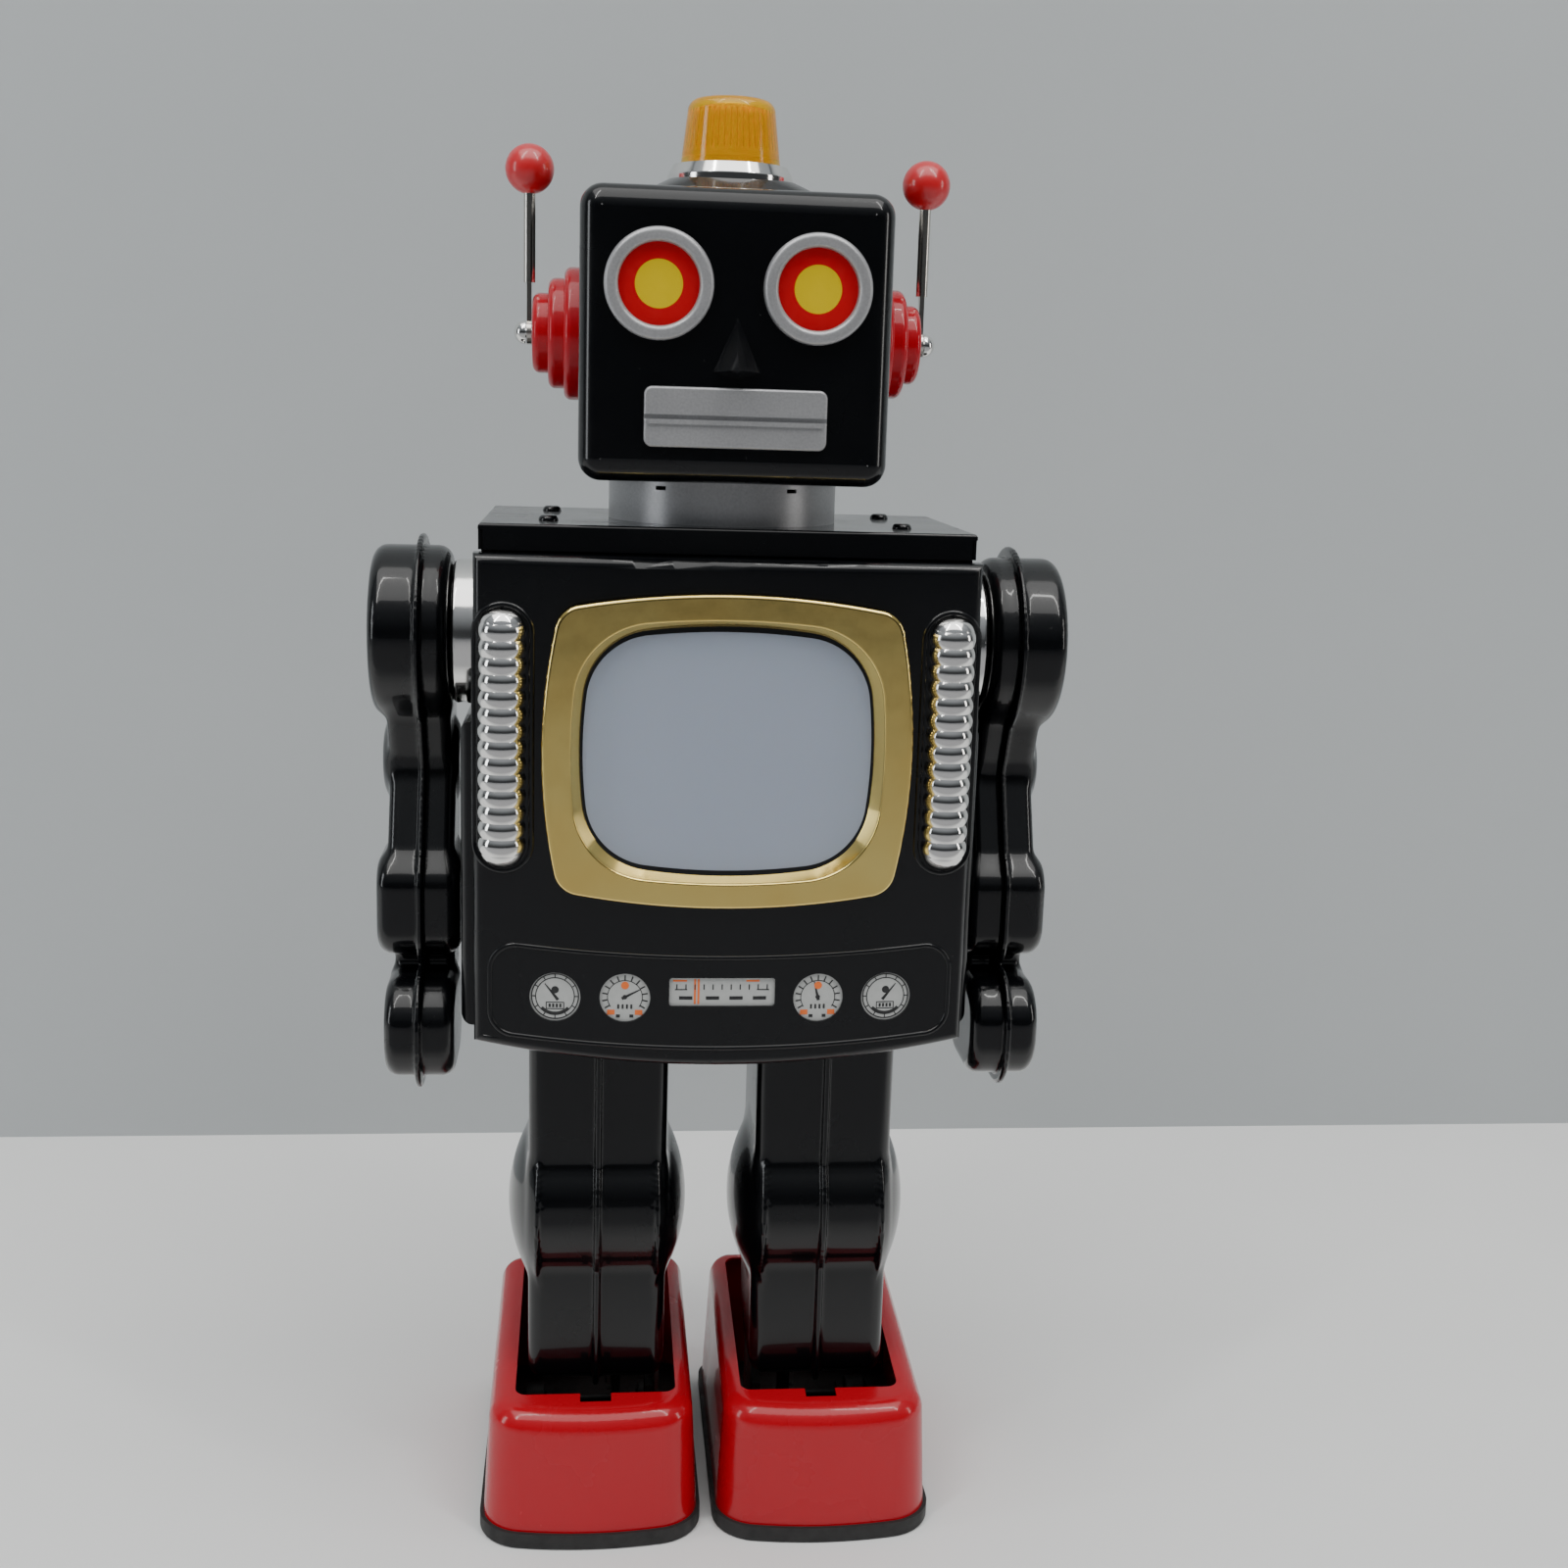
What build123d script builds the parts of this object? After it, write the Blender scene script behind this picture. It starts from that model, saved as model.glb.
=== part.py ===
from build123d import *
import os
from math import acos, atan2, cos, degrees, hypot, pi, sin

# Tin television robot, battery driven.  Millimetres.
# X runs across the toy and +X is the robot's own left, -Y is its front, +Z is up.
# The origin is on the floor, midway between the feet.

# ---------------------------------------------------------------- sheet, walls and fits
tin = 0.7                 # gauge of the pressed tinplate
strip = 1.2               # gauge of the steel strips and brackets
moulded = 1.2             # wall of the plastic mouldings
play = 0.05               # clearance of a turning fit, on the radius
gap = 0.3                 # clearance between pieces that move past each other
open_play = 0.6           # clearance of the linkage pivots that are left open, on the radius

# ---------------------------------------------------------------- torso
torso_width = 123.2       # over the lid
torso_depth = 73.2        # over the lid
torso_bottom = 143.5
torso_height = 130.5
lid_flange = 6.5
lid_notch = 2.4           # gap of the folded corners
rivet_radius = 2.5
rivet_height = 1.3
rivet_x = 45
rivet_y = 20
panel_width = 125.3       # over the front panel
panel_edge_y = -41.6      # front of the panel at its sides
panel_bulge = 3.0         # how far its middle stands further out
panel_rim = 7.0           # how far its edge wraps back
panel_top_gap = 0.5       # below the lid flange
panel_bottom_bow = 6.0    # how far the bottom edge hangs lower in the middle
panel_round = 2.6
shell_round = 2.0         # back corners of the torso
floor_slot_play = 2.8     # around each leg
hip_tab_width = 12.0      # of the floor's lugs for the hip shaft
lid_round = 0.9
rivet_crest = 0.1         # flat left on top of a rivet
wire_hole_radius = 6.0    # through the lid, up to the head
cover_stand = 5.9         # side cover, out from the torso wall
cover_height = 80
cover_depth = 56
cover_round = 3.0

# ---------------------------------------------------------------- television front
screen_z = 219.5
screen_half_width = 35.8
screen_half_height = 30.0
screen_bow = 3.2          # bow of each side of the picture
screen_corner = 17
screen_seat = 2.0         # flange of the screen behind the panel
bezel_half_width = 41.6   # at its corners
bezel_half_height = 35.2
bezel_bow = 4.2
bezel_corner = 7
bezel_front_y = -47.5
bezel_round = 1.0         # of its outer edge
bezel_seat = 1.0          # let into the panel's bulge
bezel_lip = 3.4           # width of the slope from the face to the screen
bar_x = 55.5
bar_radius = 6.2
bar_sink = 0.5            # of its axis behind the panel's sides
bar_tip = 1.3             # height of its domed ends' shoulder
bar_tip_share = 0.72      # of the radius at that shoulder
bar_length = 64.1
bar_z = 221.8
bar_ribs = 14
bar_pitch = 4.1
bar_groove = 0.55
dial_z = 156.0
dial_radius = 6.4
dial_x_inner = 24.6
dial_x_outer = 42.2
scale_width = 26.9
scale_height = 7.5
scale_z = 157.6
scale_round = 0.8
card_margin = 2.0         # around the dials
window_reach = 10.0       # of the cutting shapes in front of the panel

# ---------------------------------------------------------------- neck and head
neck_radius = 29.8
neck_height = 10.9
neck_ledge = 3.0          # of the head's floor inside the collar
neck_slots = (-125, -58)  # degrees round the collar
neck_slot_width, neck_slot_height = 3.0, 1.0
head_width = 75.3
head_depth = 79.0
head_height = 69.3
head_front_y = -41.5
head_round = 5.5
back_pan_depth = 5.0
cap_bottom_width = 45.4
cap_top_width = 32.0
cap_height = 4.2
cap_bottom_round, cap_top_round = 5.0, 8.0
lamp_ring_radius = 16.0
lamp_ring_height = 4.3
lamp_ring_rim = 1.6       # height of its upright rim
lamp_ring_slope = 1.3     # of its top, in from the rim
lamp_ring_round = 0.6
lens_radius = 12.75       # at the ring
lens_top_radius = 10.8
lens_height = 16.3        # above the ring
lens_round = 3.0
lens_wall = 1.4
bulb_radius = 4.5
bulb_neck = 6.0
bulb_wall = 0.6
socket_wall = 1.0
socket_drop = 8.0         # of the lamp's socket below the head's top
eye_x = 18.9
eye_z = 46.4              # above the bottom of the head
eye_ring_radius = 13.0
eye_disc_radius = 9.6
eye_ring_height = 3.0
eye_ring_round = 1.3
mouth_width = 44.0
mouth_height = 14.3
mouth_z = 15.7            # middle, above the bottom of the head
mouth_height_out = 1.6
mouth_round = 2.0
mouth_edge = 0.7
mouth_groove = 1.1        # height of the slit between the lips
mouth_ridge = 0.5         # how far the lip below it stands out
nose_width = 12.0
nose_height = 15.5
nose_top = 40.1           # above the bottom of the head
nose_out = 5.5
nose_flare = 0.88         # of the height, down to the widest place
nose_tip_rise = 0.6
ear_z = 35.4              # above the bottom of the head
ear_radii = (16.6, 13.8, 10.0)
ear_step = 4.0            # thickness of each ring
ear_round = 1.9
aerial_pin_radius = 1.4
aerial_screw_radius = 3.0
aerial_stem_width = 2.4
aerial_tube_radius = 1.5
aerial_tube_start = 12.4  # above the pivot
aerial_tube_length = 22.1
ball_radius = 6.15

# ---------------------------------------------------------------- arms
shoulder_z = 243.0
seam_x = 78.0             # plane where the two halves of an arm meet
arm_seam = 3.0            # width of the seam flange
shoulder_radius = 22.5
shoulder_disc_radius = 19.0
shoulder_disc_end = 70.0  # X of its outer face
arm_shaft_radius = 3.0
arm_out = (12.6, 9.4, 11.2, 9.2, 11.6, 9.0)   # shoulder, upper, elbow, fore, wrist, hand
arm_in = (7.7, 7.4, 8.6, 8.4, 10.2, 9.3)
elbow_drop = 35.5         # below the shoulder
elbow_y, elbow_radius = 8.5, 12.0
wrist_drop = 71.5
hand_drop = 103.5
arm_round = 3.4

# ---------------------------------------------------------------- legs
leg_x = 30.8              # plane where the two halves of a leg meet
leg_half_width = 18.8
leg_half_depth = 20.0
leg_bottom = 37.0
leg_top = 166.0
leg_seam = 2.4
leg_round = 4.5
knee_z = 85.5
knee_radius = 24.5
knee_dome_radius = 20.0
knee_dome_out = 6.0
knee_dome_drop = 1.8      # of the domes below the knee's middle
hip_z = 152.0
hip_radius = 2.5
leg_swing = 12.0          # degrees, each way
leg_frame_width = 10.0
link_lane = 5.0           # room outside the leg for its lever and the arm's link

# ---------------------------------------------------------------- feet
foot_x = 31.9
foot_half_width = 29.2
foot_toe_y = -42.6
foot_heel_y = 48.5
foot_bow = 4.0            # bow of the toe
foot_corner = 12.0
foot_heel_corner = 8.0
foot_toe_height = 37.5
foot_heel_height = 44.5
foot_draft = 3.0          # degrees
foot_round = 6.0
foot_opening_play = 3.0   # beside the leg
foot_opening_front = -29.7
foot_opening_back = 40.0
foot_opening_round = 3.0
toe_notch_width, toe_notch_depth = 8.4, 7.6
sole_height = 4.5
sole_lip = 1.0
ankle_z = 21.0
ankle_radius = 1.6
link_offset = 9.0         # of the parallel foot link, behind the leg's own pivots
link_width = 6.0
link_inset = 6.0          # of the link's own lane, in from the leg's seam
link_pin_radius = 1.3
roller_radius = 5.0
roller_width = 6.0
roller_spread = 34.0
roller_y = 26.0
roller_lift = 0.25        # of the rollers above the sole's underside
axle_radius = 1.0

# ---------------------------------------------------------------- drive
module = 0.6
backlash = 0.25           # added to the distance between meshing axes
gear_width = 3.0
motor_teeth, first_teeth, second_teeth, crank_teeth = 10, 40, 10, 56
drum_pinion_teeth, idler_teeth, drum_teeth = 16, 28, 50
frame_half = 8.6          # half width of the gearbox over its plates
crank_z = 178.0
crank_radius = 5.0
crank_disc_radius = 8.0
crank_pin_radius = 1.3
motor_y, motor_z = 25.0, 188.0
motor_radius = 10.0
motor_length = 25.0
gear_shaft_radius = 1.5
drum_y = -14.0
drum_radius = 21.0
drum_half = 33.0
post_radius = 2.0
lever_reach = 8.0         # of the levers that join a leg to its arm
lever_pin_radius = 1.2
cell_radius = 7.2
cell_length = 50.0
cell_count = 3
box_bottom = 212.0
door_margin = 3.0
hinge_radius = 2.0
hinge_pin_radius = 0.9
lug_width = 4.0
switch_z = 182.0
switch_travel = 6.0
switch_x = -38.0

# ---------------------------------------------------------------- worked out from the above
panel_back_y = panel_edge_y + panel_rim
lid_z = torso_bottom + torso_height
shell_half_width = torso_width / 2 - tin
shell_back_y = torso_depth / 2 - tin
wall_inner_x = shell_half_width - tin
head_bottom = lid_z + neck_height
head_top = head_bottom + head_height
head_mid_y = head_front_y + head_depth / 2
cap_top = head_top + cap_height
ring_top = cap_top + lamp_ring_height
floor_top = torso_bottom + tin
panel_top = lid_z - lid_flange - panel_top_gap
window_front_y = panel_edge_y - window_reach
ear_out = head_width / 2 + len(ear_radii) * ear_step
leg_inner_x = leg_x - leg_half_width
leg_frame_x = leg_inner_x + tin
leg_outer_x = leg_x + leg_half_width
door_height = cell_count * 2 * cell_radius + 2 * door_margin
box_half_width = cell_length / 2 + moulded + gap


# ================================================================ shapes used all over
def block(x0, x1, y0, y1, z0, z1):
    """Box from one corner to the other."""
    return Pos((x0 + x1) / 2, (y0 + y1) / 2, (z0 + z1) / 2) * Box(x1 - x0, y1 - y0, z1 - z0)


def rod(radius, x0, x1, y, z):
    """Round bar along X."""
    return Pos((x0 + x1) / 2, y, z) * Rot(0, 90, 0) * Cylinder(radius, x1 - x0)


def along_x(sketch, x0, x1):
    """A sketch drawn in (Y, Z), thickened from x0 to x1."""
    return extrude(Plane.YZ.offset(x0) * sketch, x1 - x0)


def to_front(sketch, y0, y1):
    """A sketch drawn in (X, Z), thickened forwards from y0 to y1, which is less."""
    return extrude(Plane.XZ.offset(-y0) * sketch, y0 - y1)


def fuse(pieces):
    """One solid from several that touch or overlap."""
    whole = pieces[0]
    for piece in pieces[1:]:
        whole = whole + piece
    return whole


def other_side(shape):
    """The same piece on the robot's right."""
    return mirror(shape, about=Plane.YZ)


def bowed(half_width, half_height, bow, corner):
    """Picture-tube outline: four bowed sides with round corners."""
    w, h = half_width, half_height
    sides = [ThreePointArc((-w, -h), (0, -h - bow), (w, -h)),
             ThreePointArc((w, -h), (w + bow, 0), (w, h)),
             ThreePointArc((w, h), (0, h + bow), (-w, h)),
             ThreePointArc((-w, h), (-w - bow, 0), (-w, -h))]
    face = make_face(sides)
    return fillet(face.vertices(), corner)


def turned(points, axis=Axis.Z):
    """Body turned about the axis from an outline of (radius, height) points."""
    return revolve(Plane.XZ * make_face(Polyline(*points, close=True)), axis)


def slot_strip(p0, p1, width, x0, x1, holes):
    """Flat link from p0 to p1 in (Y, Z) with round ends; holes are (y, z, radius)."""
    length = hypot(p1[0] - p0[0], p1[1] - p0[1])
    turn = degrees(atan2(p1[1] - p0[1], p1[0] - p0[0]))
    middle = Pos((p0[0] + p1[0]) / 2, (p0[1] + p1[1]) / 2)
    bar = middle * Rot(0, 0, turn) * SlotCenterToCenter(length, width)
    body = along_x(bar, x0, x1)
    for y, z, radius in holes:
        body = body - rod(radius, x0 - 1, x1 + 1, y, z)
    return body


# ================================================================ head
def rounded_head(inset, back):
    """The head's block with its front and long edges rounded."""
    half_w = head_width / 2 - inset
    front = head_front_y + inset
    body = block(-half_w, half_w, front, back, head_bottom + inset, head_top - inset)
    long_edges = body.edges().filter_by(Axis.Y)
    front_edges = body.faces().sort_by(Axis.Y)[0].edges()
    return fillet(long_edges + front_edges, head_round - inset)


def head_shell():
    back = head_front_y + head_depth
    skin = rounded_head(0, back) - rounded_head(tin, back + 1)
    top = head_bottom + nose_top
    side_z = top - nose_height * nose_flare
    root = head_front_y + tin / 2
    outline = Polyline((0, top), (-nose_width / 2, side_z), (0, top - nose_height),
                       (nose_width / 2, side_z), close=True)
    base = Plane.XZ.offset(-root) * make_face(outline)
    nose = loft([base.face(), Vertex(0, head_front_y - nose_out, side_z + nose_tip_rise)])
    neck_hole = Pos(0, 0, head_bottom) * Cylinder(neck_radius - neck_ledge, 4 * tin)
    lamp_hole = Pos(0, head_mid_y, head_top) * Cylinder(bulb_radius + neck_ledge, 4 * tin)
    wall_holes = rod(aerial_pin_radius, -head_width, head_width, head_mid_y, head_bottom + ear_z)
    return skin + nose - neck_hole - lamp_hole - wall_holes


def head_back():
    back = head_front_y + head_depth
    height = head_height - 2 * tin
    width = head_width - 2 * tin
    mid_z = head_bottom + head_height / 2
    round_ = head_round - tin
    depth = back_pan_depth
    outer = to_front(Pos(0, mid_z) * RectangleRounded(width, height, round_), back, back - depth)
    hollow = to_front(Pos(0, mid_z) * RectangleRounded(width - 2 * tin, height - 2 * tin, round_ - tin),
                      back - tin, back - depth - 1)
    return outer - hollow


def head_cap():
    def pyramid(inset, bottom, top):
        low = Pos(0, head_mid_y, bottom) * RectangleRounded(
            cap_bottom_width - 2 * inset, cap_bottom_width - 2 * inset, cap_bottom_round)
        high = Pos(0, head_mid_y, top) * RectangleRounded(
            cap_top_width - 2 * inset, cap_top_width - 2 * inset, cap_top_round)
        return loft([low.face(), high.face()])
    skin = pyramid(0, head_top, cap_top) - pyramid(tin, head_top - tin / 4, cap_top - tin)
    return skin - Pos(0, head_mid_y, cap_top) * Cylinder(bulb_radius + socket_wall, 4 * tin)


def lamp_ring():
    inner = lens_radius
    outer = lamp_ring_radius
    ring = turned([(inner, cap_top), (outer, cap_top), (outer, cap_top + lamp_ring_rim),
                   (outer - lamp_ring_slope, ring_top), (inner, ring_top)])
    crests = ring.edges().filter_by(GeomType.CIRCLE).group_by(SortBy.RADIUS)[-1]
    return Pos(0, head_mid_y, 0) * fillet(crests.sort_by(Axis.Z)[-1], lamp_ring_round)


def lamp_lens():
    def thimble(inset, bottom):
        top = ring_top + lens_height - inset
        radius = lens_radius - inset
        body = turned([(0, bottom), (radius, bottom), (radius, ring_top),
                       (lens_top_radius - inset, top), (0, top)])
        rim = body.edges().filter_by(GeomType.CIRCLE).sort_by(Axis.Z)[-1]
        return fillet(rim, lens_round - inset / 2)
    cup = thimble(0, cap_top) - thimble(lens_wall, cap_top - 1)
    return Pos(0, head_mid_y, 0) * cup


def lamp_bulb():
    bottom = ring_top + 1
    stem = Cylinder(bulb_radius, bulb_neck, align=(Align.CENTER, Align.CENTER, Align.MIN))
    glass = stem + Pos(0, 0, bulb_neck) * Sphere(bulb_radius)
    hollow = Cylinder(bulb_radius - bulb_wall, 2 * bulb_neck)
    return Pos(0, head_mid_y, bottom) * (glass - hollow)


def lamp_socket():
    top = ring_top + 1
    bottom = head_top - socket_drop
    return Pos(0, head_mid_y, (top + bottom) / 2) * Cylinder(bulb_radius + socket_wall, top - bottom)


def on_face(z_above):
    """Place for a round piece that lies on the front of the head."""
    return Pos(eye_x, head_front_y, head_bottom + z_above) * Rot(90, 0, 0)


def eye_ring():
    outer = Cylinder(eye_ring_radius, eye_ring_height,
                     align=(Align.CENTER, Align.CENTER, Align.MIN))
    ring = outer - Cylinder(eye_disc_radius, 4 * eye_ring_height)
    crests = ring.edges().filter_by(GeomType.CIRCLE).group_by(Axis.Z)[-1]
    return on_face(eye_z) * fillet(crests, eye_ring_round)


def eye_disc():
    return on_face(eye_z) * Cylinder(eye_disc_radius, tin,
                                     align=(Align.CENTER, Align.CENTER, Align.MIN))


def mouth_plate():
    mid_z = head_bottom + mouth_z
    plate = to_front(Pos(0, mid_z) * RectangleRounded(mouth_width, mouth_height, mouth_round),
                     head_front_y, head_front_y - mouth_height_out)
    front = plate.faces().sort_by(Axis.Y)[0]
    plate = fillet(front.edges(), mouth_edge)
    groove = block(-mouth_width, mouth_width, head_front_y - 2 * mouth_height_out,
                   head_front_y - mouth_height_out / 2, mid_z - mouth_groove / 2, mid_z + mouth_groove / 2)
    ridge_half = mouth_width / 2 - mouth_groove
    ridge = block(-ridge_half, ridge_half, head_front_y - mouth_height_out - mouth_ridge,
                  head_front_y - mouth_height_out / 2, mid_z - 3 * mouth_groove / 2,
                  mid_z - mouth_groove / 2)
    return plate - groove + ridge


def ear():
    def stepped(inset):
        x = head_width / 2 - (1 if inset else 0)
        edges = []
        start = (x, 0)
        edges.append(Line(start, (x, ear_radii[0] - inset)))
        for index, radius in enumerate(ear_radii):
            r = radius - inset
            end = head_width / 2 + (index + 1) * ear_step - inset
            c = ear_round - inset
            following = (ear_radii[index + 1] - inset) if index + 1 < len(ear_radii) else 0
            edges.append(Line((x, r), (end - c, r)))
            edges.append(RadiusArc((end - c, r), (end, r - c), c))
            edges.append(Line((end, r - c), (end, following)))
            x = end
        edges.append(Line((x, 0), start))
        return revolve(Plane.XZ * make_face(edges), Axis.X)
    cup = stepped(0) - stepped(tin)
    pin = rod(aerial_pin_radius, 0, ear_out + 1, 0, 0)
    return Pos(0, head_mid_y, head_bottom + ear_z) * (cup - pin)


aerial_x = ear_out + gap           # inner face of the aerial's flat stem
aerial_pivot_z = head_bottom + ear_z


def aerial_screws():
    """Dome-headed screws that hold the aerials to the ears."""
    shank = rod(aerial_pin_radius, head_width / 2 - 2, aerial_x + strip + gap, 0, 0)
    dome = Pos(aerial_x + strip + gap, 0, 0) * Rot(0, 90, 0) * Sphere(aerial_screw_radius)
    dome = dome & block(aerial_x + strip + gap, ear_out + 20, -20, 20, -20, 20)
    one = Pos(0, head_mid_y, aerial_pivot_z) * (shank + dome)
    return [one, other_side(one)]


def aerial_rod():
    x0, x1 = aerial_x, aerial_x + strip
    top = aerial_tube_start + 2
    stem = slot_strip((0, 0), (0, top), aerial_stem_width, x0, x1, [])
    eye = rod(aerial_screw_radius, x0, x1, 0, 0)
    tube_x = (x0 + x1) / 2
    tube = Pos(tube_x, 0, aerial_tube_start) * Cylinder(
        aerial_tube_radius, aerial_tube_length, align=(Align.CENTER, Align.CENTER, Align.MIN))
    hole = rod(aerial_pin_radius + play, x0 - 1, x1 + 1, 0, 0)
    return Pos(0, head_mid_y, aerial_pivot_z) * (stem + eye + tube - hole)


def aerial_ball():
    x = aerial_x + strip / 2
    z = aerial_tube_start + aerial_tube_length + ball_radius - 0.6
    ball = Pos(x, 0, z) * Sphere(ball_radius)
    seat = Pos(x, 0, aerial_tube_start) * Cylinder(
        aerial_tube_radius, aerial_tube_length, align=(Align.CENTER, Align.CENTER, Align.MIN))
    return Pos(0, head_mid_y, aerial_pivot_z) * (ball - seat)


def neck_collar():
    ring = Cylinder(neck_radius, neck_height) - Cylinder(neck_radius - tin, neck_height + 1)
    for turn in neck_slots:
        slot = Box(6 * tin, neck_slot_width, neck_slot_height)
        ring = ring - Rot(0, 0, turn) * Pos(neck_radius, 0, neck_height / 2 - 2) * slot
    return Pos(0, 0, lid_z + neck_height / 2) * ring


# ================================================================ torso
def torso_lid():
    half_w, half_d = torso_width / 2, torso_depth / 2
    low = lid_z - lid_flange
    dome = Pos(0, 0, -tin / 2) * Cylinder(rivet_radius, rivet_height + tin / 2,
                                          align=(Align.CENTER, Align.CENTER, Align.MIN))
    dome = fillet(dome.edges().filter_by(GeomType.CIRCLE).sort_by(Axis.Z)[-1], rivet_height - rivet_crest)
    pan = block(-half_w, half_w, -half_d, half_d, low, lid_z)
    pan = fillet(pan.faces().sort_by(Axis.Z)[-1].edges(), lid_round)
    pan = pan - block(-half_w + tin, half_w - tin, -half_d + tin, half_d - tin, low - 1, lid_z - tin)
    for x in (-1, 1):
        for y in (-1, 1):
            pan = pan - Pos(x * half_w, y * half_d, low) * Box(lid_notch, lid_notch, 2 * lid_flange - 3)
            pan = pan + Pos(x * rivet_x, y * rivet_y, lid_z) * dome
    return pan - Pos(0, 0, lid_z) * Cylinder(wire_hole_radius, 4 * tin)


def torso_shell():
    half_w, back = shell_half_width, shell_back_y
    front = panel_back_y
    top = lid_z - tin
    wrap = block(-half_w, half_w, front, back, torso_bottom, top)
    wrap = fillet(wrap.edges().filter_by(Axis.Z).sort_by(Axis.Y)[-2:], shell_round)
    hollow = block(-wall_inner_x, wall_inner_x, front - 1, back - tin, torso_bottom - 1, top + 1)
    hollow = fillet(hollow.edges().filter_by(Axis.Z).sort_by(Axis.Y)[-2:], shell_round - tin)
    shafts = rod(arm_shaft_radius + 1, -torso_width, torso_width, 0, shoulder_z)
    cells = block(-cell_length / 2 - gap, cell_length / 2 + gap, back - 2 * tin, back + 1,
                  box_bottom + moulded, box_bottom + door_height - moulded)
    knob = block(switch_x - 2, switch_x + 2 + switch_travel, back - 2 * tin, back + 1,
                 switch_z - 2, switch_z + 2)
    return wrap - hollow - shafts - cells - knob


def torso_floor():
    width, back = wall_inner_x, shell_back_y - tin
    plate = block(-width, width, panel_back_y, back, torso_bottom, floor_top)
    plate = fillet(plate.edges().filter_by(Axis.Z).sort_by(Axis.Y)[-2:], shell_round - tin)
    half_w = leg_half_width + floor_slot_play
    half_d = leg_half_depth + leg_seam + floor_slot_play
    for side in (-1, 1):
        x = side * leg_x
        plate = plate - block(x - half_w, x + half_w, -half_d, half_d, torso_bottom - 1, floor_top + 1)
        inner = x + side * (leg_half_width + link_lane)
        tab = block(min(inner, inner + side * strip), max(inner, inner + side * strip),
                    -hip_tab_width / 2, hip_tab_width / 2, torso_bottom, hip_z + 2 * hip_radius)
        plate = plate + tab - rod(hip_radius, inner - strip, inner + strip, 0, hip_z)
    return plate


def panel_solid(inset, back, lower=0):
    """Bulged front with rounded edges, in from its skin by inset, down to the given back."""
    half_w = panel_width / 2 - inset
    edge, middle = panel_edge_y + inset, panel_edge_y - panel_bulge + inset
    plan = make_face([ThreePointArc((-half_w, edge), (0, middle), (half_w, edge)),
                      Line((half_w, edge), (half_w, back)), Line((half_w, back), (-half_w, back)),
                      Line((-half_w, back), (-half_w, edge))])
    low = torso_bottom + inset
    bow = low - panel_bottom_bow
    front_view = make_face([ThreePointArc((-half_w, low), (0, bow), (half_w, low)),
                            Line((half_w, low), (half_w, panel_top - inset)),
                            Line((half_w, panel_top - inset), (-half_w, panel_top - inset)),
                            Line((-half_w, panel_top - inset), (-half_w, low))])
    tall = extrude(Pos(0, 0, bow - 5) * plan, torso_height + 20)
    body = tall & to_front(front_view, back + 1, middle - 1)
    return fillet(body.faces().sort_by(Axis.Y)[0].edges(), panel_round - inset)


def front_panel():
    back = panel_back_y
    skin = panel_solid(0, back) - panel_solid(tin, back + 1)
    lip = block(-panel_width / 2 + tin, panel_width / 2 - tin, back - tin, back,
                torso_bottom, panel_top - tin)
    lip = lip - block(-wall_inner_x, wall_inner_x, back - 2 * tin, back + 1,
                      torso_bottom - 1, panel_top)
    window = to_front(Pos(0, screen_z) * screen_outline(0), back, window_front_y)
    body = skin + lip - window
    for x in dial_places():
        body = body - to_front(Pos(x, dial_z) * Circle(dial_radius), back, window_front_y)
    scale = Pos(0, scale_z) * RectangleRounded(scale_width, scale_height, scale_round)
    return body - to_front(scale, back, window_front_y)


def dial_places():
    """X of the four round dials."""
    return [side * x for side in (-1, 1) for x in (dial_x_inner, dial_x_outer)]


def screen_outline(grow):
    return bowed(screen_half_width - screen_bow + grow, screen_half_height - screen_bow + grow,
                 screen_bow, screen_corner + grow)


def dial_card():
    """Printed card behind the dial openings, bent to the back of the panel."""
    half_w = dial_x_outer + dial_radius + card_margin
    low, high = dial_z - dial_radius - card_margin, dial_z + dial_radius + card_margin
    back = panel_back_y
    band = block(-half_w, half_w, window_front_y, back, low, high)
    return (panel_solid(tin, back) - panel_solid(2 * tin, back + 1)) & band


def tv_screen():
    """Opal moulding: a face in the window and a flange behind the panel."""
    back = panel_back_y
    plug = to_front(Pos(0, screen_z) * screen_outline(0), back, window_front_y)
    flange = to_front(Pos(0, screen_z) * screen_outline(screen_seat), back, window_front_y)
    face = (panel_solid(0, back) - panel_solid(tin, back + 1)) & plug
    seat = (panel_solid(tin, back) - panel_solid(tin + moulded, back + 1)) & flange
    return face + seat


def tv_bezel():
    """Plated frame: flat face, rounded outer edge and a slope down to the screen."""
    back = panel_back_y
    outline = bowed(bezel_half_width, bezel_half_height, bezel_bow, bezel_corner)
    outer = to_front(Pos(0, screen_z) * outline, panel_edge_y + bezel_seat, bezel_front_y)
    outer = fillet(outer.faces().sort_by(Axis.Y)[0].edges(), bezel_round)
    deep = to_front(Pos(0, screen_z) * screen_outline(0), back, bezel_front_y - 1)
    wide = Plane.XZ.offset(-bezel_front_y) * Pos(0, screen_z) * screen_outline(bezel_lip)
    narrow = Plane.XZ.offset(-(panel_edge_y - bezel_seat)) * Pos(0, screen_z) * screen_outline(0)
    slope = loft([wide.face(), narrow.face()])
    return outer - deep - slope - panel_solid(0, back + 10)


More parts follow.
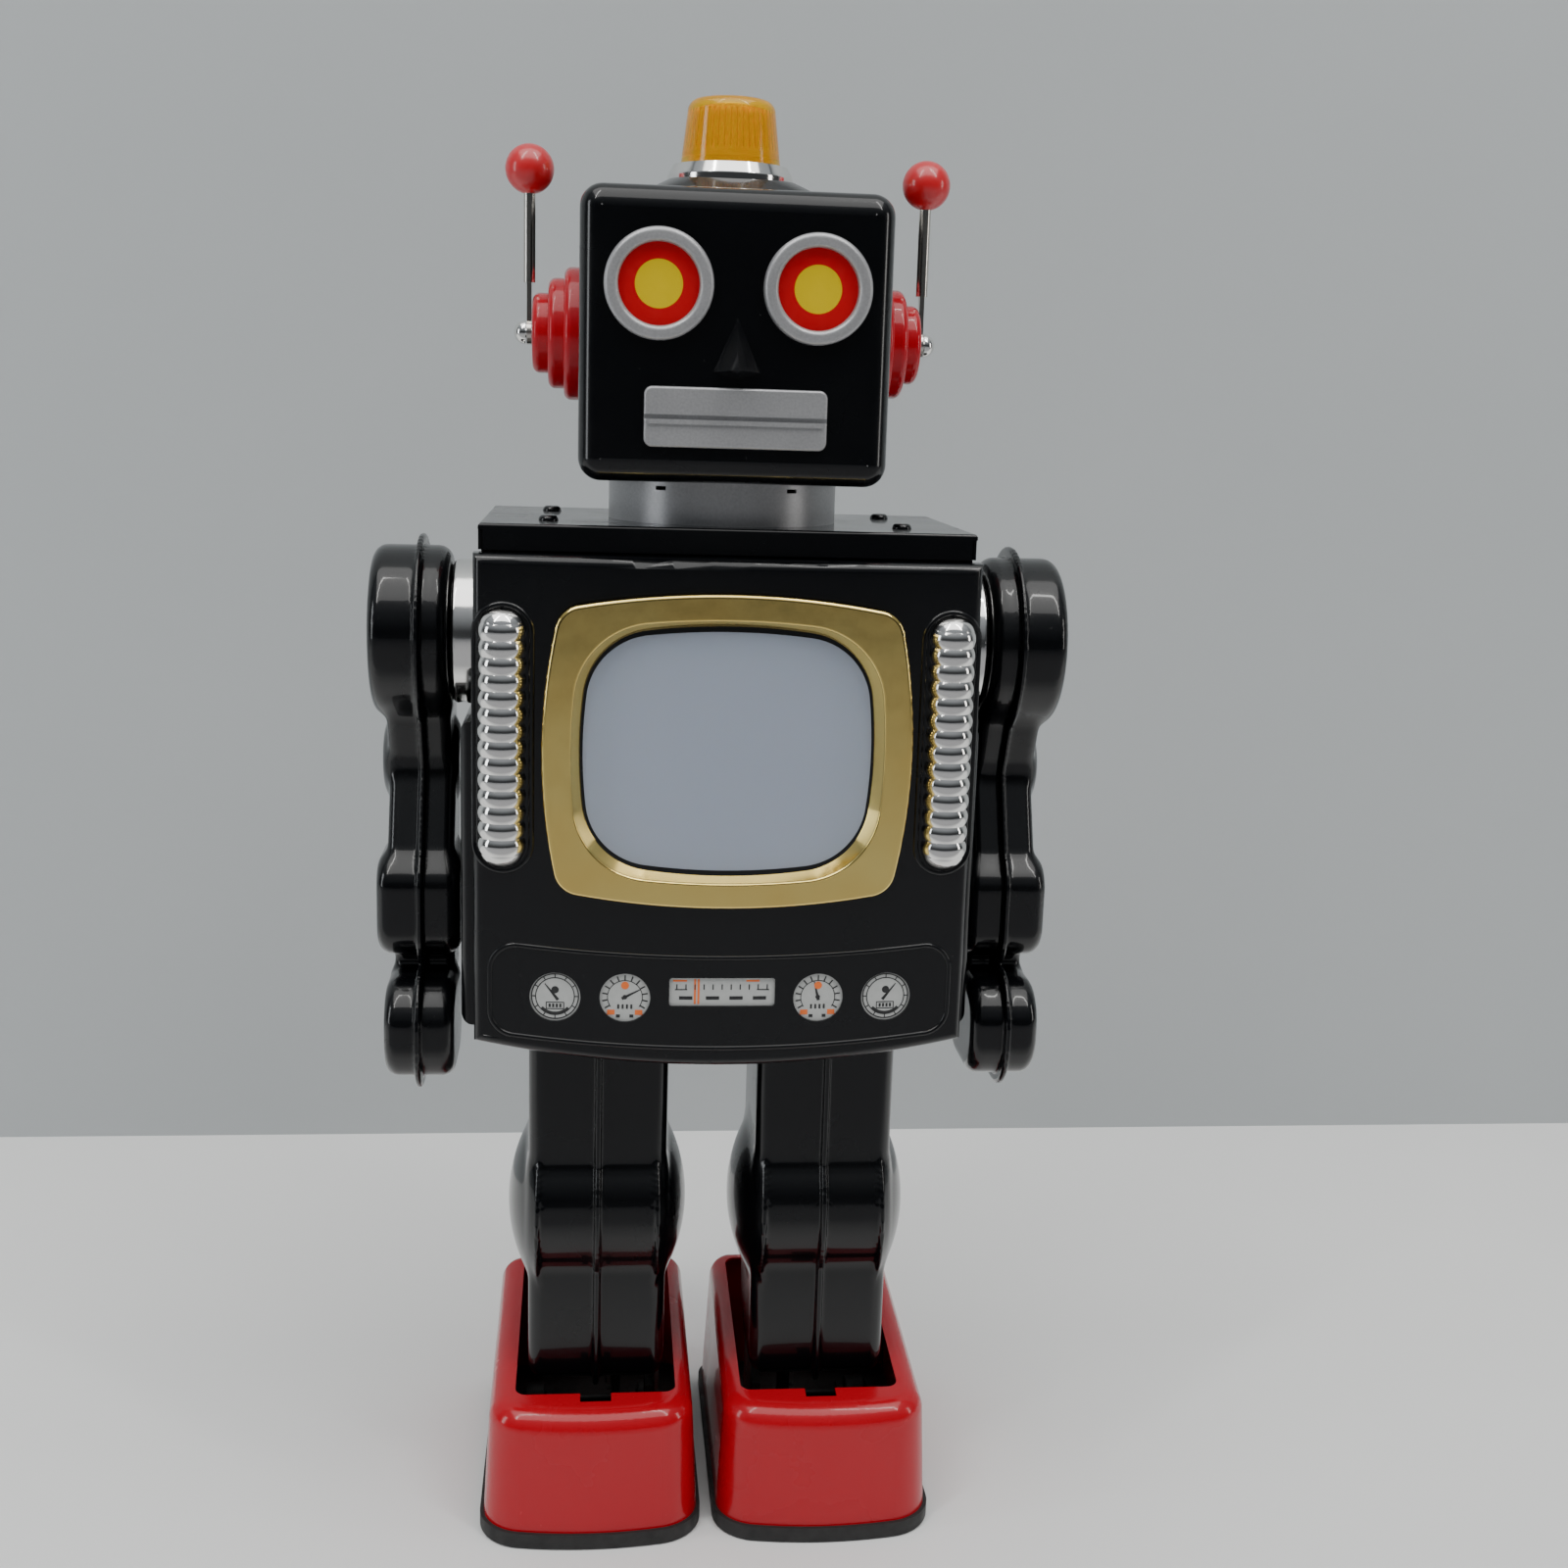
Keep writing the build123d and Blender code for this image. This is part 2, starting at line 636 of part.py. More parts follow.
def chrome_bar():
    """Half-round bar with ball ends and turned ribs, flat at the back."""
    rib_r, groove_r = bar_radius, bar_radius - bar_groove
    ribbed = bar_ribs * bar_pitch
    z = -ribbed / 2
    tip = bar_length / 2
    shoulder_r, shoulder = rib_r * bar_tip_share, tip - bar_tip
    edges = [Line((0, tip), (0, -tip)), ThreePointArc((0, -tip), (shoulder_r, -shoulder), (groove_r, z))]
    for index in range(bar_ribs):
        low, high = z + index * bar_pitch, z + (index + 1) * bar_pitch
        edges.append(ThreePointArc((groove_r, low), (rib_r, (low + high) / 2), (groove_r, high)))
    edges.append(ThreePointArc((groove_r, -z), (shoulder_r, shoulder), (0, tip)))
    bar = revolve(Plane.XZ * make_face(edges), Axis.Z)
    bar = Pos(bar_x, panel_edge_y + bar_sink, bar_z) * bar
    return bar - panel_solid(0, panel_edge_y + 4 * bar_radius)


def side_cover():
    x0, x1 = shell_half_width, shell_half_width + cover_stand
    half = cover_depth / 2
    pan = block(x0, x1, -half, half, torso_bottom, torso_bottom + cover_height)
    outer = fillet(pan.faces().sort_by(Axis.X)[-1].edges(), cover_round)
    hollow = block(x0 - 1, x1 - tin, -half + tin, half - tin,
                   torso_bottom + tin, torso_bottom + cover_height - tin)
    inner = fillet(hollow.faces().sort_by(Axis.X)[-1].edges(), cover_round - tin)
    return outer - inner


def shoulder_disc():
    """Chromed cup between the torso and the arm; its boss is the arm shaft's bearing."""
    x0, x1 = shell_half_width, shoulder_disc_end
    cup = rod(shoulder_disc_radius, x0, x1, 0, shoulder_z)
    cup = fillet(cup.edges().filter_by(GeomType.CIRCLE).sort_by(Axis.X)[-1], 1.5)
    cup = cup - rod(shoulder_disc_radius - tin, x0 - 1, x1 - tin, 0, shoulder_z)
    boss = rod(arm_shaft_radius + 2, x0, x1, 0, shoulder_z)
    return cup + boss - rod(arm_shaft_radius + play, x0 - 1, x1 + 1, 0, shoulder_z)


# ================================================================ arms
def arm_sketches():
    """Lobes of the arm in (Y, Z): shoulder, upper arm, elbow, forearm, wrist and hand."""
    s = shoulder_z
    elbow, wrist, hand = s - elbow_drop, s - wrist_drop, s - hand_drop
    return [Pos(0, s) * Circle(shoulder_radius),
            make_face(Polyline((-15, s), (15, s), (19.5, elbow), (-1, elbow), close=True)),
            Pos(elbow_y, elbow) * Circle(elbow_radius),
            make_face(Polyline((-2, elbow + 3), (20, elbow + 3), (13, wrist + 11), (-14, wrist + 11),
                               close=True)),
            Pos(-2.5, wrist) * RectangleRounded(31, 28, 7),
            Pos(-10.5, hand) * RectangleRounded(35, 27, 12)
            + Pos(2, (wrist + hand) / 2) * Rectangle(18, 14)]


def arm_half(depths, out):
    """Pressed half of an arm; out is +1 for the half away from the torso, -1 for the other."""
    skin, cavity = [], []
    for sketch, depth in zip(arm_sketches(), depths):
        lobe = along_x(sketch, 0, depth)
        skin.append(fillet(lobe.faces().sort_by(Axis.X)[-1].edges(), arm_round))
        inner = along_x(offset(sketch, -tin), -1, depth - tin)
        cavity.append(fillet(inner.faces().sort_by(Axis.X)[-1].edges(), arm_round - tin))
        skin.append(along_x(offset(sketch, arm_seam), 0, tin))
    half = fuse(skin) - fuse(cavity)
    if out < 0:
        half = mirror(half, about=Plane.YZ)
    half = Pos(seam_x, 0, 0) * half
    if out < 0:
        half = half - rod(arm_shaft_radius, 0, 2 * seam_x, 0, shoulder_z)
    return half


def arm_shaft():
    """Steel shaft fixed in the arm, with a crank plate at its inner end."""
    inner = leg_outer_x + gap + strip + gap + strip + 0.5
    shaft = rod(arm_shaft_radius, inner, seam_x + arm_out[0] - tin, 0, shoulder_z)
    crank = slot_strip((0, shoulder_z), (-lever_reach, shoulder_z), 7, inner, inner + strip, [])
    pin = rod(lever_pin_radius, inner - strip - gap - 0.2, inner, -lever_reach, shoulder_z)
    return shaft + crank + pin


def arm_link():
    """Rod from the leg's lever to the arm's crank; the upper eye is open."""
    x0 = leg_outer_x + gap + strip + gap
    low, high = (lever_reach, hip_z), (-lever_reach, shoulder_z)
    holes = [(low[0], low[1], lever_pin_radius + play),
             (high[0], high[1], lever_pin_radius + open_play)]
    return slot_strip(low, high, 6, x0, x0 + strip, holes)


def leg_lever():
    """Lever on the outside of the leg's top that works the arm's link."""
    x0 = leg_outer_x
    plate = slot_strip((0, hip_z), (lever_reach, hip_z), 8, x0, x0 + strip,
                       [(0, hip_z, hip_radius + play)])
    pin = rod(lever_pin_radius, x0 + strip, x0 + 2 * strip + 2 * gap, lever_reach, hip_z)
    return plate + pin


# ================================================================ legs
def leg_half(out):
    """Pressed half of a leg; out is +1 for the outer half, -1 for the inner one."""
    def lobes(inset, start):
        half_d = leg_half_depth - inset
        top = leg_top + (1 if inset else 0)
        main = Pos(0, (leg_bottom + inset + top) / 2) * Rectangle(2 * half_d, top - leg_bottom - inset)
        shapes = [(main, leg_half_width), (Pos(0, knee_z) * Circle(knee_radius - inset), leg_half_width),
                  (Pos(0, knee_z - knee_dome_drop) * Circle(knee_dome_radius - inset),
                   leg_half_width + knee_dome_out)]
        solids = []
        for sketch, depth in shapes:
            lobe = along_x(sketch, start, depth - inset)
            edges = lobe.faces().sort_by(Axis.X)[-1].edges()
            solids.append(fillet(edges, leg_round - inset))
        return solids
    skin = lobes(0, 0)
    seam_box = Rectangle(2 * (leg_half_depth + leg_seam), leg_top - leg_bottom + leg_seam)
    seam_box = Pos(0, (leg_top + leg_bottom - leg_seam) / 2) * fillet(seam_box.vertices(), 4)
    skin.append(along_x(seam_box, 0, tin))
    skin.append(along_x(Pos(0, knee_z) * Circle(knee_radius + leg_seam), 0, tin))
    half = fuse(skin) - fuse(lobes(tin, -1))
    half = half - rod(hip_radius + play, -1, 2 * leg_half_width, 0, hip_z)
    half = half - block(-1, leg_half_width - leg_round, -leg_half_depth + 2, leg_half_depth - 2,
                        leg_bottom - 5, leg_bottom + leg_round)
    if out < 0:
        reach = leg_half_width - tin - strip - gap
        half = half - block(reach, leg_half_width + 1, -leg_frame_width / 2 - gap,
                            leg_frame_width / 2 + gap, leg_bottom - 5, leg_bottom + leg_round)
        half = mirror(half, about=Plane.YZ)
    return Pos(leg_x, 0, 0) * half


def leg_frame():
    """Steel strip down the inside of the leg, from the crank's slot to the ankle."""
    x0, x1 = leg_frame_x, leg_frame_x + strip
    top = crank_z + crank_radius
    body = slot_strip((0, ankle_z), (0, top), leg_frame_width, x0, x1,
                      [(0, ankle_z, ankle_radius + play), (0, hip_z, hip_radius + play)])
    reach = crank_radius + crank_pin_radius
    slot = Pos(0, crank_z) * Rot(0, 0, 90) * SlotOverall(2 * reach + 1, 2 * crank_pin_radius + 0.4)
    return body - along_x(slot, x0 - 1, x1 + 1)


def hip_shaft():
    """Fixed shaft that both legs swing on, with the two arms that hold the foot links."""
    end = leg_outer_x + link_lane + strip
    shaft = rod(hip_radius, -end, end, 0, hip_z)
    for side in (-1, 1):
        x0 = side * (leg_x - link_inset)
        x1 = x0 + side * strip
        arm = slot_strip((0, hip_z), (link_offset, hip_z), 8, min(x0, x1), max(x0, x1), [])
        tip = x1 + side * (strip + 2 * gap)
        pin = rod(link_pin_radius, min(x1, tip), max(x1, tip), link_offset, hip_z)
        shaft = shaft + arm + pin
    return shaft


def foot_link():
    """Rod behind the leg's own strip that keeps the foot level; the lower eye is open."""
    x0 = leg_x - link_inset + strip + gap
    holes = [(link_offset, hip_z, link_pin_radius + play),
             (link_offset, ankle_z, link_pin_radius + open_play)]
    return slot_strip((link_offset, ankle_z), (link_offset, hip_z), link_width, x0, x0 + strip, holes)


# ================================================================ feet
def foot_outline(grow):
    """Plan of a foot, centred on its own middle line."""
    w = foot_half_width + grow
    toe, side_toe, heel = foot_toe_y - grow, foot_toe_y + foot_bow - grow, foot_heel_y + grow
    plan = make_face([ThreePointArc((-w, side_toe), (0, toe), (w, side_toe)),
                      Line((w, side_toe), (w, heel)), Line((w, heel), (-w, heel)),
                      Line((-w, heel), (-w, side_toe))])
    plan = fillet(plan.vertices().group_by(Axis.Y)[-1], foot_heel_corner + grow)
    return fillet(plan.vertices().group_by(Axis.Y)[0], foot_corner + grow)


def foot_block(inset, bottom):
    """Foot as a solid, in from its skin by inset."""
    tall = extrude(Pos(0, 0, bottom) * foot_outline(-inset), foot_heel_height + 12, taper=foot_draft)
    length = foot_heel_y - foot_toe_y
    tilt = degrees(atan2(foot_heel_height - foot_toe_height, length))
    mid_z = (foot_heel_height + foot_toe_height) / 2 - inset
    above = Pos(0, (foot_heel_y + foot_toe_y) / 2, mid_z) * Rot(tilt, 0, 0) * Box(
        200, 200, 60, align=(Align.CENTER, Align.CENTER, Align.MIN))
    body = tall - above
    return fillet(body.faces().sort_by(Axis.Z)[-1].edges(), foot_round - inset)


def foot_shell():
    skin = foot_block(0, sole_height) - foot_block(tin, sole_height - 0.01)
    mid_x = leg_x - foot_x
    half_w = leg_half_width + foot_opening_play
    length = foot_opening_back - foot_opening_front
    hole = Pos(mid_x, (foot_opening_back + foot_opening_front) / 2) * RectangleRounded(
        2 * half_w, length, foot_opening_round)
    notch = Pos(mid_x, foot_opening_front) * Rectangle(toe_notch_width, toe_notch_depth)
    cut = extrude(Pos(0, 0, foot_toe_height - 12) * (hole + notch), 40)
    return Pos(foot_x, 0, 0) * (skin - cut)


def foot_sole():
    """Black moulded base with the uprights and pins of the foot's two pivots."""
    plate = extrude(foot_outline(sole_lip), sole_height)
    plate = fillet(plate.faces().sort_by(Axis.Z)[0].edges(), 0.8)
    axle_z = roller_lift + roller_radius
    for x in roller_places():
        for side in (-1, 1):
            post = x + side * (roller_width / 2 + 1.5)
            plate = plate + block(post - 1, post + 1, roller_y - 3, roller_y + 3, sole_height / 2,
                                  axle_z + 3)
        plate = plate - Pos(x, roller_y, 0) * Box(roller_width + 1, 2 * roller_radius + 1.6,
                                                  4 * sole_height)
    end = roller_spread / 2 + roller_width + 0.5
    plate = plate - rod(axle_radius + play, -end, end, roller_y, axle_z)
    plate = Pos(foot_x, 0, 0) * plate
    ankle_x0 = leg_frame_x + strip + gap
    link_x1 = leg_x - link_inset + strip
    inner = block(ankle_x0, ankle_x0 + 2 * strip, -6, 6, sole_height / 2, ankle_z + 6)
    outer = block(link_x1 - 2 * strip, link_x1, link_offset - 6, link_offset + 6, sole_height / 2,
                  ankle_z + 6)
    ankle = rod(ankle_radius, leg_frame_x - 1, ankle_x0 + strip, 0, ankle_z)
    pin = rod(link_pin_radius, link_x1, link_x1 + strip + 2 * gap, link_offset, ankle_z)
    return plate + inner + outer + ankle + pin


def roller_places():
    """X of the two rollers of a foot, from the foot's middle."""
    return (-roller_spread / 2, roller_spread / 2)


def foot_rollers():
    """Two rollers on one axle that turns in the sole."""
    z = roller_lift + roller_radius
    pieces = [rod(axle_radius, -roller_spread / 2 - roller_width, roller_spread / 2 + roller_width,
                  roller_y, z)]
    for x in roller_places():
        wheel = rod(roller_radius, x - roller_width / 2, x + roller_width / 2, roller_y, z)
        pieces.append(fillet(wheel.edges().filter_by(GeomType.CIRCLE), 0.6))
    return Pos(foot_x, 0, 0) * fuse(pieces)


# ================================================================ drive
def pitch_radius(teeth):
    return module * teeth / 2


def centre_distance(teeth_a, teeth_b):
    return pitch_radius(teeth_a) + pitch_radius(teeth_b) + backlash


def third_corner(a, b, from_a, from_b):
    """Point at the given distances from a and b, on the left of the way from a to b."""
    span = hypot(b[0] - a[0], b[1] - a[1])
    turn = acos((span ** 2 + from_a ** 2 - from_b ** 2) / (2 * span * from_a))
    heading = atan2(b[1] - a[1], b[0] - a[0]) + turn
    return (a[0] + from_a * cos(heading), a[1] + from_a * sin(heading))


def heading(a, b):
    return atan2(b[1] - a[1], b[0] - a[0])


motor_at = (motor_y, motor_z)
crank_at = (0.0, crank_z)
drum_at = (drum_y, screen_z)
layshaft_at = third_corner(crank_at, motor_at, centre_distance(second_teeth, crank_teeth),
                           centre_distance(motor_teeth, first_teeth))
idler_at = third_corner(drum_at, layshaft_at, centre_distance(idler_teeth, drum_teeth),
                        centre_distance(drum_pinion_teeth, idler_teeth))
idler_phase = heading(idler_at, layshaft_at) + pi / idler_teeth
drum_heading = heading(idler_at, drum_at)
idler_lag = (drum_heading - idler_phase) % (2 * pi / idler_teeth)
drum_phase = drum_heading + pi + idler_lag * idler_teeth / drum_teeth + pi / drum_teeth


def gear(teeth, at, x0, x1, phase):
    """Spur gear with one tooth's middle at the phase angle in (Y, Z)."""
    r = pitch_radius(teeth)
    root, tip = r - 1.15 * module, r + 0.75 * module
    step = 2 * pi / teeth
    points = []
    for index in range(teeth):
        middle = phase + index * step
        for radius, share in ((root, -0.34), (tip, -0.13), (tip, 0.13), (root, 0.34)):
            angle = middle + share * step
            points.append((radius * cos(angle), radius * sin(angle)))
    face = Pos(at[0], at[1]) * make_face(Polyline(*points, close=True))
    return along_x(face, x0, x1)


plate_inner = frame_half - strip
drum_gear_x = drum_half + 1.5
bracket_x = drum_gear_x + gear_width + 2


def gearbox_frame():
    """Two riveted plates on the torso floor that carry the hip shaft and the gear shafts."""
    def plate(x0):
        outline = (Pos(0, (floor_top + crank_z) / 2) * Rectangle(24, crank_z - floor_top)
                   + Pos(0, crank_z) * Circle(12)
                   + make_face(Polyline((-6, crank_z), (12, crank_z - 8), (motor_y + 6, motor_z - 9),
                                        (motor_y + 6, motor_z + 16), (-6, motor_z + 11.5), close=True)))
        body = along_x(outline, x0, x0 + strip)
        for at, radius in ((crank_at, 2 + play), (layshaft_at, gear_shaft_radius + play),
                           (motor_at, gear_shaft_radius + play), ((0, hip_z), hip_radius)):
            body = body - rod(radius, x0 - 1, x0 + 2 * strip, at[0], at[1])
        return body
    pieces = [plate(-frame_half), plate(plate_inner)]
    for y, z in post_places():
        pieces.append(rod(post_radius, -frame_half, frame_half, y, z))
    return fuse(pieces)


def post_places():
    """(Y, Z) of the pillars that join the plates and carry the drum bracket."""
    return [(-4.0, motor_z + 10), (motor_y + 2, motor_z + 15)]


def drum_bracket():
    """Plate beside the picture drum, held off the gearbox by two pillars."""
    x0, x1 = bracket_x, bracket_x + strip
    arms = make_face(Polyline((drum_y - 6, screen_z + 6), (drum_y - 6, screen_z - 6),
                              (-8, motor_z + 4), (motor_y + 8, motor_z + 4),
                              (motor_y + 8, motor_z + 18), (drum_y + 6, screen_z + 6), close=True))
    plate = along_x(arms, x0, x1)
    plate = plate - rod(gear_shaft_radius + play, x0 - 1, x1 + 1, *layshaft_at)
    for y, z in post_places():
        plate = plate + rod(post_radius, frame_half, x0, y, z)
    spindle = rod(gear_shaft_radius, drum_half - 4, x0, *drum_at)
    stub = rod(gear_shaft_radius, drum_gear_x - 1, x0, *idler_at)
    return plate + spindle + stub


def motor():
    can = rod(motor_radius, frame_half, frame_half + motor_length, *motor_at)
    can = fillet(can.edges().filter_by(GeomType.CIRCLE), 1.2)
    tail = rod(3, frame_half + motor_length, frame_half + motor_length + 2, *motor_at)
    return can + tail - rod(gear_shaft_radius + play, frame_half - 1, frame_half + 9, *motor_at)


def motor_pinion():
    shaft = rod(gear_shaft_radius, -frame_half, frame_half + 8, *motor_at)
    return shaft + gear(motor_teeth, motor_at, 0, gear_width + 1, heading(motor_at, layshaft_at))


def layshaft():
    """First reduction wheel, the pinion beside it and the drum's pinion on one long shaft."""
    shaft = rod(gear_shaft_radius, -frame_half, bracket_x + strip, *layshaft_at)
    wheel = gear(first_teeth, layshaft_at, 0.5, gear_width + 0.5,
                 heading(layshaft_at, motor_at) + pi / first_teeth)
    pinion = gear(second_teeth, layshaft_at, -gear_width - 1.5, 0.5, heading(layshaft_at, crank_at))
    drive = gear(drum_pinion_teeth, layshaft_at, drum_gear_x, drum_gear_x + gear_width,
                 heading(layshaft_at, idler_at))
    return shaft + wheel + pinion + drive


def idler_gear():
    wheel = gear(idler_teeth, idler_at, drum_gear_x, drum_gear_x + gear_width, idler_phase)
    return wheel - rod(gear_shaft_radius + play, drum_gear_x - 1, bracket_x, *idler_at)


def crankshaft():
    """Cross shaft with its wheel, a disc at each end and the two crank pins half a turn apart."""
    disc_x0 = frame_half + 0.5
    disc_x1 = leg_frame_x - 2 * gap - 1.1
    shaft = rod(2, -disc_x1, disc_x1, *crank_at)
    wheel = gear(crank_teeth, crank_at, -gear_width - 1, -1, heading(crank_at, layshaft_at)
                 + pi / crank_teeth)
    discs = [rod(crank_disc_radius, disc_x0, disc_x1, *crank_at),
             rod(crank_disc_radius, -disc_x1, -disc_x0, *crank_at)]
    tip = leg_frame_x - gap - 0.1
    pins = [rod(crank_pin_radius, disc_x1, tip, 0, crank_z + crank_radius),
            rod(crank_pin_radius, -tip, -disc_x1, 0, crank_z - crank_radius)]
    return fuse([shaft, wheel] + discs + pins)


def picture_drum():
    """Clear drum with the moving picture on it; one end is open for the bulb."""
    tube = rod(drum_radius, -drum_half, drum_half, *drum_at)
    tube = tube - rod(drum_radius - moulded, -drum_half - 1, drum_half - moulded, *drum_at)
    wheel = gear(drum_teeth, drum_at, drum_half, drum_gear_x + gear_width, drum_phase)
    bore = rod(gear_shaft_radius + play, drum_half - 5, bracket_x, *drum_at)
    return tube + wheel - bore


def screen_bulb():
    neck = rod(bulb_radius, -drum_half, -14, *drum_at)
    glass = neck + Pos(-14, drum_y, screen_z) * Sphere(bulb_radius)
    return glass - rod(bulb_radius - 0.6, -drum_half - 1, -14, *drum_at)


def screen_bulb_holder():
    """Socket at the open end of the drum, on a strip from the torso's side."""
    socket = rod(bulb_radius + 1, -drum_half - 10, -drum_half, *drum_at)
    arm = block(-wall_inner_x, -drum_half - 8, drum_y - 5, drum_y + 5, screen_z - strip / 2,
                screen_z + strip / 2)
    tab = block(-wall_inner_x, -wall_inner_x + strip, drum_y - 5, drum_y + 5, screen_z - 8,
                screen_z + 8)
    return socket + arm + tab


def battery_box():
    back = shell_back_y - tin
    depth = 2 * cell_radius + 2 * gap + moulded
    top = box_bottom + door_height
    body = block(-box_half_width, box_half_width, back - depth, back, box_bottom, top)
    room = block(-box_half_width + moulded, box_half_width - moulded, back - depth + moulded, back + 1,
                 box_bottom + door_margin, top - door_margin)
    return body - room


def door_lugs():
    """Two lugs riveted to the torso's back, in which the door's stub pins turn."""
    lugs = []
    for side in (-1, 1):
        x0 = side * box_half_width
        x1 = x0 - side * lug_width
        lug = rod(hinge_radius, min(x0, x1), max(x0, x1), hinge_y, hinge_z)
        web = block(min(x0, x1), max(x0, x1), shell_back_y, hinge_y, hinge_z - hinge_radius,
                    hinge_z + hinge_radius)
        bore = rod(hinge_pin_radius + play, -2 * box_half_width, 2 * box_half_width, hinge_y, hinge_z)
        lugs.append(lug + web - bore)
    return lugs


def battery_cells():
    y = shell_back_y - tin - cell_radius - gap
    cells = []
    for index in range(cell_count):
        z = box_bottom + door_margin + cell_radius * (2 * index + 1)
        can = rod(cell_radius - 0.1, -cell_length / 2 + 1, cell_length / 2 - 1.5, y, z)
        end = 1 if index % 2 else -1
        nub_x = end * cell_length / 2
        can = can + rod(2.6, min(nub_x, nub_x - end * 3), max(nub_x, nub_x - end * 3), y, z)
        cells.append(can.solid())
    return Compound(children=cells)


hinge_y = shell_back_y + gap + hinge_radius
hinge_z = box_bottom - hinge_radius - 1


def battery_door():
    inner = box_half_width - lug_width - gap
    y0, y1 = shell_back_y + gap, shell_back_y + gap + moulded
    top = box_bottom + door_height + 1
    plate = block(-box_half_width, box_half_width, y0, y1, box_bottom - 0.5, top)
    plate = fillet(plate.edges().filter_by(Axis.Y), 2)
    knuckle = rod(hinge_radius, -inner, inner, hinge_y, hinge_z)
    web = block(-inner, inner, hinge_y, hinge_y + hinge_radius, hinge_z, box_bottom + 1)
    web = web + block(-inner, inner, y0, hinge_y + hinge_radius, box_bottom, box_bottom + 1)
    grip = block(-8, 8, y1, y1 + 1.4, top - 5, top - 2)
    pins = rod(hinge_pin_radius, -box_half_width, box_half_width, hinge_y, hinge_z)
    return plate + knuckle + web + grip + pins


def switch_body():
    back = shell_back_y - tin
    case = block(switch_x - 6, switch_x + 6 + switch_travel, back - 8, back, switch_z - 4, switch_z + 4)
    room = block(switch_x - 2, switch_x + 2 + switch_travel, back - 6, back + 1, switch_z - 2,
                 switch_z + 2)
    return case - room


def switch_knob():
    back = shell_back_y
    stem = block(switch_x - 1.7, switch_x + 1.7, back - tin - 5, back + gap, switch_z - 1.7,
                 switch_z + 1.7)
    cap = block(switch_x - 4, switch_x + 4, back + gap, back + 2.6, switch_z - 3, switch_z + 3)
    return stem + fillet(cap.faces().sort_by(Axis.Y)[-1].edges(), 0.6)


def case_screws():
    """Four pan-head screws in the torso's back."""
    screws = []
    for x in (-52, 52):
        for z in (torso_bottom + 8, lid_z - lid_flange - 8):
            head = Pos(x, shell_back_y, z) * Rot(-90, 0, 0) * Cylinder(
                2.6, 1.6, align=(Align.CENTER, Align.CENTER, Align.MIN))
            head = fillet(head.edges().filter_by(GeomType.CIRCLE).sort_by(Axis.Y)[-1], 0.8)
            slot = Pos(x, shell_back_y + 1.6, z) * Box(8, 1.4, 0.7)
            screws.append(head - slot)
    return screws


# ================================================================ the whole toy
def group(shapes):
    """Separate solids that share one node."""
    return Compound(children=[shape.solid() for shape in shapes])


def both(shape):
    """Both copies of a piece in one node."""
    return group([shape, other_side(shape)])


nodes = {
    "head_shell": head_shell(), "head_back": head_back(), "head_cap": head_cap(),
    "lamp_ring": lamp_ring(), "lamp_lens": lamp_lens(), "bulbs": group([lamp_bulb(), screen_bulb()]),
    "bulb_holders": group([lamp_socket(), screen_bulb_holder()]), "eye_rings": both(eye_ring()),
    "eye_discs": both(eye_disc()), "mouth_plate": mouth_plate(), "ears": both(ear()),
    "neck_collar": neck_collar(), "torso_lid": torso_lid(), "torso_shell": torso_shell(),
    "torso_floor": torso_floor(), "front_panel": front_panel(), "dial_card": dial_card(),
    "tv_screen": tv_screen(), "tv_bezel": tv_bezel(), "chrome_bars": both(chrome_bar()),
    "side_covers": both(side_cover()), "shoulder_discs": both(shoulder_disc()),
    "gearbox_frame": group([gearbox_frame(), drum_bracket(), hip_shaft()]), "motor": motor(),
    "battery_box": group([battery_box(), switch_body()] + door_lugs()),
    "battery_cells": battery_cells(), "screws": group(case_screws() + aerial_screws()),
    "motor_pinion": motor_pinion(), "layshaft": layshaft(), "idler_gear": idler_gear(),
    "crankshaft": crankshaft(), "picture_drum": picture_drum(), "battery_door": battery_door(),
    "switch_knob": switch_knob(),
}
for name, shape in (("aerial_rod", aerial_rod()), ("aerial_ball", aerial_ball()),
                    ("arm_outer", arm_half(arm_out, 1)), ("arm_inner", arm_half(arm_in, -1)),
                    ("arm_shaft", arm_shaft()), ("arm_link", arm_link()),
                    ("leg_outer", leg_half(1)), ("leg_inner", leg_half(-1)),
                    ("leg_irons", group([leg_frame(), leg_lever()])), ("foot_link", foot_link()),
                    ("foot_shell", foot_shell()), ("foot_sole", foot_sole()),
                    ("foot_rollers", foot_rollers())):
    nodes["left_" + name] = shape
    nodes["right_" + name] = other_side(shape)

os.makedirs("parts", exist_ok=True)
for name, shape in nodes.items():
    export_step(shape, f"parts/{name}.step")
print(len(nodes), "nodes")
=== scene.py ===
import math

import bmesh
import bpy
import numpy as np
from mathutils import Matrix, Vector


